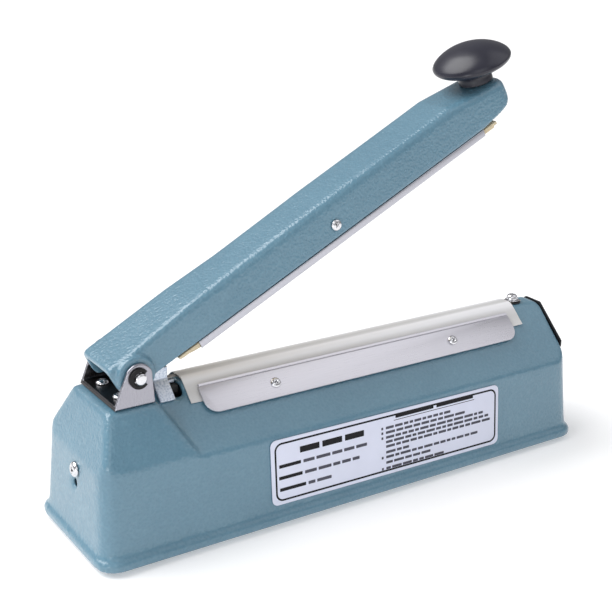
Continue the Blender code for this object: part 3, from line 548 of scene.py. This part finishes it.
def on_roof(x, d, lift, side=-1):
    y, z = d * math.cos(SLOPE), GABLE_C - d * math.sin(SLOPE)
    return (x, side * (y + lift * math.sin(SLOPE)), z + lift * math.cos(SLOPE))


def roof_normal(side=-1):
    return (0, side * math.sin(SLOPE), math.cos(SLOPE))


def wall_y(z):
    return WALL_Y0 - DRAFT_Y * (z - 5)


FN = math.hypot(1, DRAFT_Y)


def on_front(x, z, lift):
    return (x, -wall_y(z) - lift / FN, z + DRAFT_Y * lift / FN)


# =================================== castings ===================================
def base_weight(co):
    z = co[:, 2] / MM - FOOT
    w = np.clip((z - 5.0) / 6.0, 0.15, 1.0)
    w = np.where((z > 43) & (z < 56), np.minimum(w, 0.6), w)
    top = (z > 70) & (np.abs(co[:, 1] / MM) < 9) & (co[:, 0] / MM > -106) & (co[:, 0] / MM < 146)
    w[top] = 0.25
    return w


soften("base_housing", 1.0, 22, "base", PAINT, base_weight, 60)
soften("arm_casting", 0.7, 6, "arm", PAINT, None, 60)

# =================================== knob ===================================
stem = [(0, 0.35), (9.2, 0.35), (9.9, 0.75), (9.75, 2.4), (9.5, 4.4), (9.9, 6.0), (11.6, 7.3), (15.0, 8.2), (18.6, 9.1), (20.9, 10.2), (22.0, 11.3)]
cap = [(22.35, 12.2), (22.42, 12.8), (22.1, 13.6), (21.2, 14.9), (19.2, 16.7), (16.4, 18.5), (12.8, 20.2), (8.6, 21.4), (4.2, 22.1), (0, 22.3)]
prof = stem[:2] + curve_through(stem[2:] + cap, 5)
kax = (math.sin(KTILT), 0, math.cos(KTILT))
me = lathe("knob", (KS, 0, KH), kax, prof, 96, ARM)
new_object("handle_knob_finish", me, "arm", KNOB, 40, ("handle_knob",))

# =================================== jaw ===================================
PX0, PX1, D0, D1 = -89.5, 124.4, 12.7, 30.4
for side, tag in ((-1, "front"), (1, "rear")):
    put = lambda p, t, side=side: on_roof(p[0], p[1], t, side)
    body_line = fillet([(PX0, D0 + 2.1), (PX1, D0 + 2.1), (PX1, D1), (PX0, D1)], [0.2, 0.2, 8.5, 9.0], 12)
    sheet_me = finish_mesh(solid("plate", body_line, put, 1.25, 2.35), bevel(0.22, 3, 50))
    lip_line = fillet([(PX0 + 0.4, D0), (PX1 - 0.2, D0), (PX1 - 0.2, D0 + 1.7), (PX0 + 0.4, D0 + 1.7)], 0.3, 4)
    lip = finish_mesh(solid("lip", lip_line, put, 1.4, 2.4), bevel(0.4, 4, 50))
    web = solid("web", [(PX0 + 0.6, D0 + 1.2), (PX1 - 0.4, D0 + 1.2), (PX1 - 0.4, D0 + 2.6), (PX0 + 0.6, D0 + 2.6)], put, 1.3, 1.75)
    new_object("clamp_plate_%s_finish" % tag, join_meshes("cp", [sheet_me, lip, web]), "base", STEEL, 35, ("clamp_plate_" + tag,))
    for j, cx in enumerate((-45.4, 77.0)):
        pan_screw("clamp_screw_%s_%d" % (tag, j + 1), on_roof(cx, 22.2, 2.4, side), roof_normal(side), 3.0, 1.75, "base", turn=0.25 + 0.5 * j)

# cloth over the ridge: one thin sheet with a soft unevenness, pulled tight
random.seed(7)
CD = 22.0
c_mid = GABLE_C + 0.62 * math.hypot(1, GABLE_M)
top_z = CLOTH_TOP - 0.25
w_top = (c_mid - top_z) / GABLE_M
half = [(0.0, top_z)]
for k in range(1, 5):
    half.append((w_top * 0.62 * k / 4, top_z))
for k in range(1, 9):
    t = k / 8
    a, b = (w_top * 0.62, top_z), (w_top, top_z)
    y2 = w_top + 2.2
    c = (y2, c_mid - GABLE_M * y2)
    half.append(((1 - t) ** 2 * a[0] + 2 * t * (1 - t) * b[0] + t * t * c[0], (1 - t) ** 2 * a[1] + 2 * t * (1 - t) * b[1] + t * t * c[1]))
y_end = CD * math.cos(SLOPE) + 0.62 * math.sin(SLOPE)
y_now = half[-1][0]
for k in range(1, 13):
    y = y_now + (y_end - y_now) * k / 12
    half.append((y, c_mid - GABLE_M * y))
line = [(-y, z) for y, z in reversed(half)] + half[1:]
CX0, CX1 = -96.0, 133.0
nx = 230
verts, faces = [], []
for i in range(nx + 1):
    x = CX0 + (CX1 - CX0) * i / nx
    for k, (y, z) in enumerate(line):
        s = 1 if y > 0 else -1
        down = max(0.0, (abs(y) - w_top) / (y_end - w_top))
        ripple = 0.10 * math.sin(x * 0.21 + 1.7 * s) * down + 0.06 * math.sin(x * 0.63 + 0.8 * k) * down
        # the skirt lifts a touch at its free ends, beyond the clamp plates
        loose = 0.5 * down * max(0.0, 1 - (x - CX0) / 6.0) + 0.7 * down * max(0.0, 1 - (CX1 - x) / 8.0)
        ny, nz = math.sin(SLOPE), math.cos(SLOPE)
        if abs(y) < w_top * 0.7:
            ny, nz = 0.0, 1.0
            ripple = 0.02 * math.sin(x * 0.3)
        off = ripple + loose * 0.6
        verts.append((x, y + s * ny * off, z + nz * off))
m = len(line)
for i in range(nx):
    for k in range(m - 1):
        faces.append((i * m + k, i * m + k + 1, (i + 1) * m + k + 1, (i + 1) * m + k))
me = raw("cloth", verts, faces)
me = finish_mesh(me, ("SOLIDIFY", dict(thickness=0.28 * MM, offset=0.0)))
ob = new_object("ptfe_cover_finish", me, "base", CLOTH, 50, ("ptfe_cover",))

# =================================== arm fittings ===================================
CH_TOP, CH_LOW = LOW_H - 0.35, PAD_H + 0.55
sec = [(-16.5, CH_TOP), (16.5, CH_TOP), (16.5, CH_LOW), (14.4, CH_LOW), (14.4, CH_LOW + 0.9), (15.4, CH_LOW + 0.9), (15.4, CH_TOP - 1.0), (-15.4, CH_TOP - 1.0), (-15.4, CH_LOW + 0.9), (-14.4, CH_LOW + 0.9), (-14.4, CH_LOW), (-16.5, CH_LOW)]
line2 = fillet(sec, [0.7, 0.7, 0.5, 0.15, 0.1, 0.1, 0.2, 0.2, 0.1, 0.1, 0.15, 0.5], 4)
chan = finish_mesh(solid("bar", line2, lambda p, t: (t, p[0], p[1]), 37.1, 241.5, ARM), bevel(0.12, 2, 60))
lug = finish_mesh(solid("lug", fillet([(SIDE_S - 7, CH_TOP - 0.5), (SIDE_S + 7, CH_TOP - 0.5), (SIDE_S + 7, 4.6), (SIDE_S - 7, 4.6)], 1.0, 4), lambda p, t: (p[0], t, p[1]), -11, 11, ARM), bevel(0.3, 2, 50))
new_object("press_bar_finish", join_meshes("bar", [chan, lug]), "arm", ALU, 35, ("press_bar",))

pt, pm = CH_TOP - 1.3, CH_LOW + 1.2
sec = [(-14.1, PAD_H), (14.1, PAD_H), (14.1, pm), (15.1, pm), (15.1, pt), (-15.1, pt), (-15.1, pm), (-14.1, pm)]
sec = fillet(sec, [0.5, 0.5, 0.1, 0.2, 0.4, 0.4, 0.2, 0.1], 4)
rings = []
for s in [24.4, 24.7] + [26 + k * 1.5 for k in range(8)] + [37.6, 100, 180, 240, 249.6, 250.3, 251.6, 252.2]:
    low = PAD_H
    if s < 37.0:
        low = PAD_H + (pt - 1.3 - PAD_H) * (37.0 - s) / 12.6
    ring = []
    for y, h in sec:
        hh = max(h, low)
        ring.append((min(s, 250.4) if (h < pm + 0.05 and s > 250.3) else s, y, min(hh, pt)))
    rings.append(ring)
n = len(sec)
verts = [p for r in rings for p in r]
faces = [tuple(range(n)), tuple(range(len(verts) - 1, len(verts) - n - 1, -1))]
for k in range(len(rings) - 1):
    faces += [(k * n + i, k * n + (i + 1) % n, (k + 1) * n + (i + 1) % n, (k + 1) * n + i) for i in range(n)]
me = raw("pad", verts, faces, ARM)
new_object("silicone_pad_finish", me, "arm", SILICONE, 35, ("silicone_pad",))

lean = math.atan((17.0 - 14.8) / 22.0)
for side, tag in ((-1, "front"), (1, "rear")):
    pan_screw("arm_screw_" + tag, (SIDE_S, side * 16.55, SIDE_H), (0, side * math.cos(lean), math.sin(lean)), 3.1, 1.35, "arm", ARM, turn=0.5)

# =================================== hinge ===================================
soften("hinge_bracket", 0.4, 4, "base", BRACKET, None, 50)
bracket = bpy.data.objects["hinge_bracket_finish"]
# the bracket's floor, the ears' inner sides and its left edge faces get the darker copy of the steel: painted shade
bracket.data.materials.append(BRACKET_PAINTED_SHADE)
for f in bracket.data.polygons:
    if (f.normal.z > 0.7 and f.center.z < (82.0 + FOOT) * MM) or (f.normal.x < -0.85 and f.center.z < (79.6 + FOOT) * MM) or (f.normal.y > 0.8 and -22 * MM < f.center.y < 0) or (f.normal.y < -0.8 and 0 < f.center.y < 22 * MM and f.center.z > (79.5 + FOOT) * MM):
        inner = abs(f.center.y) < 20.8 * MM
        if f.normal.z > 0.7 or inner or f.normal.x < -0.8:
            f.material_index = 1
soften("spring_saddle", 0.33, 5, "base", ZINC, None, 50)
for sy, tag in ((10.5, "rear"), (-10.5, "front")):
    pan_screw("bracket_screw_" + tag, (-133.5, sy, 79.75), (0, 0, 1), 3.4, 1.75, "base", shank=6.0)
prof = [(0, -24.6)] + [(3.0 * math.sin(a) ** 0.5 if a else 0, 0) for a in ()]
prof = [(0, -24.6), (2.2, -24.55), (2.7, -24.35), (3.0, -24.0), (3.0, -23.15), (2.3, -23.05), (2.3, -21.75), (3.0, -21.65), (3.0, 21.65), (2.3, 21.75), (2.3, 23.05), (3.0, 23.15), (3.0, 24.0), (2.7, 24.35), (2.2, 24.55), (0, 24.6)]
new_object("hinge_pin_finish", lathe("pin", (PIVOT_X, 0, PIVOT_Z), (0, 1, 0), prof, 48), "base", PIN, 40, ("hinge_pin",))
for side, tag in ((-1, "front"), (1, "rear")):
    ring = []
    for k in range(49):
        t = math.radians(40 + 280 * k / 48)
        ring.append((PIVOT_X - 0.3 + 5.4 * math.cos(t), PIVOT_Z + 5.5 * math.sin(t)))
    for k in range(97):
        deg = 320 - 280 * k / 96
        t = math.radians(deg)
        near = min(abs(deg - 320), abs(deg - 40), abs(deg - 180))
        inner = 2.75 if near < 13 else (3.55 if near > 19 else 2.75 + 0.8 * (near - 13) / 6)
        ring.append((PIVOT_X + inner * math.cos(t), PIVOT_Z + inner * math.sin(t)))
    me = solid("clip", ring, lambda p, t: (p[0], t, p[1]), side * 21.85, side * 22.95)
    me = finish_mesh(me, bevel(0.2, 3, 50))
    new_object("retaining_clip_%s_finish" % tag, me, "base", CLIP, 40, ("retaining_clip_" + tag,))

# return spring, closed at both ends
SX, S0, S1, TURNS = -108.2, 89.4, 107.6, 6.5
pts = []
steps = int(TURNS * 40)
for k in range(steps + 1):
    t = k / steps
    lift = t + 0.045 * math.sin(2 * math.pi * t) * 0.0
    a = 2 * math.pi * TURNS * t
    pts.append(Vector((SX + 3.2 * math.cos(a), 3.2 * math.sin(a), S0 + (S1 - S0) * lift)))
nn = 12
verts, faces, u = [], [], None
for k, p in enumerate(pts):
    d = (pts[min(k + 1, len(pts) - 1)] - pts[max(k - 1, 0)]).normalized()
    u = Vector((0, 0, 1)) if u is None else u
    u = (u - d * u.dot(d)).normalized()
    w = d.cross(u)
    verts += [p + (u * math.cos(2 * math.pi * i / nn) + w * math.sin(2 * math.pi * i / nn)) * 0.52 for i in range(nn)]
faces = [tuple(range(nn)), tuple(range(len(verts) - 1, len(verts) - nn - 1, -1))]
for k in range(len(pts) - 1):
    faces += [(k * nn + i, k * nn + (i + 1) % nn, (k + 1) * nn + (i + 1) % nn, (k + 1) * nn + i) for i in range(nn)]
ob = new_object("arm_return_spring_finish", raw("spring", verts, faces), "base", SPRING, 60, ("arm_return_spring",))
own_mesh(ob)

# =================================== terminals ===================================
pan_screw("terminal_screw_right", (138.5, 0, 81.4), (0, 0, 1), 3.3, 2.05, "base", shank=8.0, turn=0.75)
hexa = [(138.5 + 3.75 * math.cos(math.radians(60 * k + 12)), 3.75 * math.sin(math.radians(60 * k + 12))) for k in range(6)]
nut = finish_mesh(solid("nut", fillet(hexa, 0.3, 2), lambda p, t: (p[0], p[1], t), 79.85, 81.2), bevel(0.25, 2, 50))
washer = lathe("washer", (138.5, 0, 0), (0, 0, 1), [(1.8, 79.6), (4.2, 79.6), (4.35, 79.68), (4.35, 79.78), (4.2, 79.85), (1.8, 79.85)], 40)
new_object("terminal_nut_right_finish", join_meshes("nut", [nut, washer]), "base", CHROME, 35, ("terminal_nut_right",))
soften("terminal_insulator_right", 0.3, 3, "base", FIBRE)
soften("terminal_block_left", 0.3, 3, "base", FIBRE)
soften("terminal_clip_left", 0.22, 3, "base", ZINC)
# ribbon: flat over the ridge, then a short free bow to the left clip
rib = []
for k in range(61):
    x = -104.6 + 238.6 * k / 60
    rib.append(x)
xs = [-104.4 + k * 0.6 for k in range(16)] + [-95 + k * 2.0 for k in range(115)] + [134.0, 135.0, 143.0]
verts, faces = [], []
for x in xs:
    z = 79.35 + (0.5 * math.sin(math.pi * (x + 104.4) / 9.4) if x < -95 else 0.0) - (0.9 * max(0, (-101.5 - x) / 3.0) ** 1.5)
    hw = 1.5 if x < 133.5 else 3.3
    for y, dz in ((-hw, -0.12), (hw, -0.12), (hw, 0.12), (-hw, 0.12)):
        verts.append((x, y, z + dz))
faces = [(0, 1, 2, 3), tuple(len(verts) - 4 + i for i in (3, 2, 1, 0))]
for k in range(len(xs) - 1):
    faces += [(k * 4 + i, k * 4 + (i + 1) % 4, (k + 1) * 4 + (i + 1) % 4, (k + 1) * 4 + i) for i in range(4)]
new_object("heating_element_finish", raw("ribbon", verts, faces), "base", HEATER, 30, ("heating_element",))

# =================================== label ===================================
LX0, LX1, LZ0, LZ1 = -61.0, 97.0, 9.4, 46.4
put = lambda p, t: on_front(p[0], p[1] - 0.0125 * (p[0] - 18.0), t)   # the label was stuck on a little askew
out_line = fillet([(LX0, LZ0), (LX1, LZ0), (LX1, LZ1), (LX0, LZ1)], 3.6, 12)
me = finish_mesh(solid("label", out_line, put, 0.3, 0.72), bevel(0.1, 2, 50))
new_object("label_plate_finish", me, "base", LABEL, 40, ("label_plate",))


def ring_mesh(x0, x1, z0, z1, r, wdt, l0, l1):
    a = fillet([(x0, z0), (x1, z0), (x1, z1), (x0, z1)], r, 12)
    b = fillet([(x0 + wdt, z0 + wdt), (x1 - wdt, z0 + wdt), (x1 - wdt, z1 - wdt), (x0 + wdt, z1 - wdt)], max(r - wdt, 0.1), 12)
    n = len(a)
    vs = [put(p, l0) for p in a] + [put(p, l0) for p in b] + [put(p, l1) for p in a] + [put(p, l1) for p in b]
    fs = []
    for i in range(n):
        j = (i + 1) % n
        fs += [(i, j, n + j, n + i), (2 * n + i, 3 * n + i, 3 * n + j, 2 * n + j), (i, 2 * n + i, 2 * n + j, j), (n + i, n + j, 3 * n + j, 3 * n + i)]
    return raw("ring", vs, fs)


def block(x0, x1, z0, z1, l1=0.765):
    return solid("b", fillet([(x0, z0), (x1, z0), (x1, z1), (x0, z1)], min(0.22, (z1 - z0) * 0.3), 3), put, 0.70, l1)


def words(x, z, h, count, lo, hi, gap, limit, rng):
    """A row of small blocks of uneven length that stand in for a printed line."""
    out = []
    for _ in range(count):
        wd = rng.uniform(lo, hi)
        if x + wd > limit:
            break
        out.append(block(x, x + wd, z, z + h))
        x += wd + gap
    return out


rng = random.Random(11)
border = ring_mesh(LX0 + 2.3, LX1 - 1.9, LZ0 + 1.9, LZ1 - 1.9, 4.6, 1.05, 0.70, 0.775)
bold = [border]
fine = []
bold += words(-42.8, 36.2, 3.5, 3, 12.2, 13.6, 1.9, 2.0, random.Random(3))
for z, (x0, x1, end) in zip((29.9, 23.3, 16.6), ((-56.1, -42.4, 5.4), (-56.4, -41.6, 5.3), (-56.1, -39.6, -13.6))):
    bold += words(x0, z + 0.2, 1.9, 1, x1 - x0, x1 - x0, 1, x1 + 0.2, rng)
    fine += words(x1 + 1.6, z + 0.2, 1.8, 7, 4.2, 9.5, 1.2, end, rng)
bold += words(21.0, 41.9, 2.2, 2, 26.6, 27.4, 2.2, 79.5, random.Random(5))
bold += [block(19.8, 78.4, 40.6, 40.95)]
for z, x1, mark in ((36.6, 63.6, 1), (33.8, 74.4, 1), (30.9, 89.6, 1), (28.2, 89.9, 0), (25.5, 90.0, 0), (22.1, 33.0, 0), (19.2, 82.8, 1), (15.9, 45.2, 0), (12.5, 57.7, 1)):
    if mark:
        fine.append(block(11.1, 12.4, z, z + 1.5))
    fine += words(14.2, z, 1.5, 16, 2.4, 7.2, 0.9, x1 + 0.8, rng)
new_object("label_print_bold", join_meshes("bold", bold), "base", INK, 30)
new_object("label_print_fine", join_meshes("fine", fine), "base", INK_SOFT, 30)

# =================================== control end ===================================
pz = [(-27.6, 53.5), (27.6, 53.5), (27.6, 57.8), (6.3, 77.0), (-6.3, 77.0), (-27.6, 57.8)]
face_line = fillet(pz, [0.8, 0.8, 1.2, 1.5, 1.5, 1.2], 5)
me = solid("panel", face_line, lambda p, t: (t, p[0], p[1]), END_X + 0.3, END_X + 1.8)
holes = [lathe("h", (END_X, 3.0, 64.0), (1, 0, 0), [(3.6, -2), (3.6, 6)], 40), lathe("h", (END_X, -13.5, 60.5), (1, 0, 0), [(3.3, -2), (3.3, 6)], 40)]
me = finish_mesh(boolean(me, holes), bevel(0.25, 2, 50))
new_object("control_panel_finish", me, "base", PANEL, 30, ("control_panel",))
DY, DZ = 3.0, 64.0
prof = [(2.6, 2.1), (7.6, 2.1), (8.0, 2.25), (8.0, 2.6), (7.7, 2.85), (6.75, 3.0), (6.45, 3.3), (6.3, 4.1), (6.1, 4.5), (5.7, 4.7), (2.4, 4.7), (0, 4.6)]
dial = lathe("dial", (END_X, DY, DZ), (1, 0, 0), prof, 72)
flutes = []
for k in range(18):
    a = math.radians(20 * k + 10)
    flutes.append(lathe("f", (END_X, DY + 7.05 * math.cos(a), DZ + 7.05 * math.sin(a)), (1, 0, 0), [(0.85, 3.05), (0.85, 6.0)], 12))
dial = boolean(dial, flutes)
weld(dial)
new_object("timer_dial_finish", dial, "dial", DARK, 30, ("timer_dial",))
mark = solid("mark", [(DY - 0.35, DZ + 1.5), (DY + 0.35, DZ + 1.5), (DY + 0.35, DZ + 5.2), (DY - 0.35, DZ + 5.2)], lambda p, t: (t, p[0], p[1]), END_X + 4.62, END_X + 4.76)
new_object("dial_pointer", mark, "dial", WHITE_INK, 30)
# numbers 1 to 8 round the dial
nums = []
for k in range(8):
    a = math.radians(225 - k * 270 / 7)
    cu = bpy.data.curves.new("n", "FONT")
    cu.body = str(k + 1)
    cu.size = 0.0026
    cu.extrude = 0.00003
    cu.align_x, cu.align_y = "CENTER", "CENTER"
    t = temp(cu)
    t.matrix_world = Matrix.Translation(((END_X + 1.84) * MM, (DY + 10.0 * math.cos(a)) * MM, (DZ + 10.0 * math.sin(a) + FOOT) * MM)) @ Matrix(((0, 0, 1, 0), (1, 0, 0, 0), (0, 1, 0, 0), (0, 0, 0, 1)))
    bpy.context.view_layer.update()
    me = bpy.data.meshes.new_from_object(t.evaluated_get(bpy.context.evaluated_depsgraph_get()))
    me.transform(t.matrix_world)
    bpy.data.objects.remove(t, do_unlink=True)
    nums.append(me)
new_object("panel_numbers", join_meshes("nums", nums), "base", WHITE_INK, 30)

soften("power_inlet", 0.4, 3, "base", DARK)
soften("lamp_holder", 0.3, 2, "base", DARK)
lens = curve_through([(3.6, 3.1), (3.6, 3.4), (3.2, 3.85), (2.2, 4.28), (1.1, 4.46), (0, 4.5)], 5)
new_object("lamp_lens_finish", lathe("lens", (END_X, -13.5, 60.5), (1, 0, 0), [(0, -3), (1.9, -3), (1.9, 3.1)] + lens, 40), "base", LENS, 50, ("lamp_lens",))

# =================================== ends and feet ===================================
def wall_x(z):
    return 157.8 - 0.06 * (min(z, 47.5) - 5)


pan_screw("switch_screw", (-wall_x(41.4) - 0.2, -2.2, 41.4), (-1, 0, 0.06), 4.2, 2.1, "base", shank=5.5, turn=0.15)
for i, (fx, fy) in enumerate(((-128.0, -25.0), (-128.0, 25.0), (128.0, -25.0), (128.0, 25.0))):
    prof = [(0, -2.5)] + [(4.9, -2.5)] + curve_through([(5.5, -2.4), (6.2, -2.0), (7.0, -1.2), (7.5, -0.2), (7.6, 0.5)], 4) + [(7.4, 0.6), (0, 0.6)]
    name = "rubber_foot_%d" % (i + 1)
    new_object(name + "_finish", lathe(name, (fx, fy, 0), (0, 0, 1), prof, 48), "base", RUBBER, 40, (name,))
for i, (bx, by) in enumerate(((-143.5, -27.5), (-143.5, 27.5), (143.5, -27.5), (143.5, 27.5))):
    pan_screw("bottom_screw_%d" % (i + 1), (bx, by, 0.7), (0, 0, -1), 3.2, 1.75, "base", shank=9.0, turn=0.4 * i)

# =================================== carried-over pieces ===================================
def paint(mat, *names):
    for name in names:
        ob = NODES[name]
        ob.data.materials.clear()
        ob.data.materials.append(mat)


paint(ZINC, "bottom_plate", "microswitch_bracket", "transformer_strap", "timer_potentiometer", "knob_bolt")
paint(PIN, "switch_rod", "switch_lever")
paint(ALU, "timer_shaft")
paint(TAPE, "insulation_strip")
paint(DARK, "microswitch")
paint(CORE, "transformer_core")
paint(COIL, "transformer_coil")
paint(BOARD, "timer_board")
paint(RELAY, "timer_relay")
paint(CAN, "timer_capacitor")

# =================================== stage, light, camera ===================================
az, el, roll, focal = -0.580387765, 0.344315681, 0.015571763, 1233.7423
back = Vector((math.sin(az) * math.cos(el), -math.cos(az) * math.cos(el), math.sin(el)))
right = (-back).cross(Vector((0, 0, 1))).normalized()
up = right.cross(-back)
r2 = right * math.cos(roll) + up * math.sin(roll)
u2 = -right * math.sin(roll) + up * math.cos(roll)
cam = bpy.data.cameras.new("camera")
cam.sensor_width = 36.0
cam.lens = focal * 36.0 / 612.0
cam.clip_start, cam.clip_end = 0.01, 120
camera = bpy.data.objects.new("camera", cam)
bpy.context.scene.collection.objects.link(camera)
loc = Vector((-0.36746973, -0.53748388, 0.33389613 + FOOT * MM))
camera.matrix_world = Matrix(((r2.x, u2.x, back.x, loc.x), (r2.y, u2.y, back.y, loc.y), (r2.z, u2.z, back.z, loc.z), (0, 0, 0, 1)))
bpy.context.scene.camera = camera

floor_me = bpy.data.meshes.new("floor")
S = 30.0
floor_me.from_pydata([(-S, -S, 0), (S, -S, 0), (S, S, 0), (-S, S, 0)], [], [(0, 1, 2, 3)])
floor = bpy.data.objects.new("floor", floor_me)
bpy.context.scene.collection.objects.link(floor)
fm = Mat("pale_floor").set(rough=0.9, spec=0.1)
fm.p.inputs["Emission Color"].default_value = (1, 1, 1, 1)
fm.p.inputs["Emission Strength"].default_value = 0.30
floor_me.materials.append(fm.done(fm.ramp(fm.noise(3.0), [(0.3, 0.76), (0.7, 0.79)])))

world = bpy.data.worlds.new("studio")
bpy.context.scene.world = world
world.use_nodes = True
bg = world.node_tree.nodes["Background"]
bg.inputs["Color"].default_value = (0.97, 0.97, 1.0, 1.0)
bg.inputs["Strength"].default_value = 0.32


def area(name, where, at, size, power, color=(1, 1, 1), sy=None):
    li = bpy.data.lights.new(name, "AREA")
    li.energy = power
    li.color = color
    li.shape = "RECTANGLE"
    li.size, li.size_y = size, sy or size
    ob = bpy.data.objects.new(name, li)
    bpy.context.scene.collection.objects.link(ob)
    ob.location = where
    ob.rotation_euler = (Vector(at) - Vector(where)).to_track_quat("-Z", "Y").to_euler()
    return ob


sun = bpy.data.lights.new("soft_sun", "SUN")
sun.energy = 3.0
sun.angle = math.radians(55)
sun_ob = bpy.data.objects.new("soft_sun", sun)
bpy.context.scene.collection.objects.link(sun_ob)
sun_ob.rotation_euler = Vector((-0.50, 0.38, 0.78)).to_track_quat("Z", "Y").to_euler()
area("strip_left", (-0.92, -0.62, 0.12), (-0.13, 0.0, 0.05), 0.11, 2.6, (0.95, 0.98, 1.0), 0.7)
area("front_high", (-0.45, -1.05, 0.85), (-0.05, 0, 0.06), 0.8, 2.2, (0.96, 0.98, 1.0))
area("plate_box", (0.72, -0.42, 1.15), (0, 0, 0.08), 1.2, 3.4, (0.97, 0.97, 1.0))

bpy.context.scene.view_settings.view_transform = "Standard"
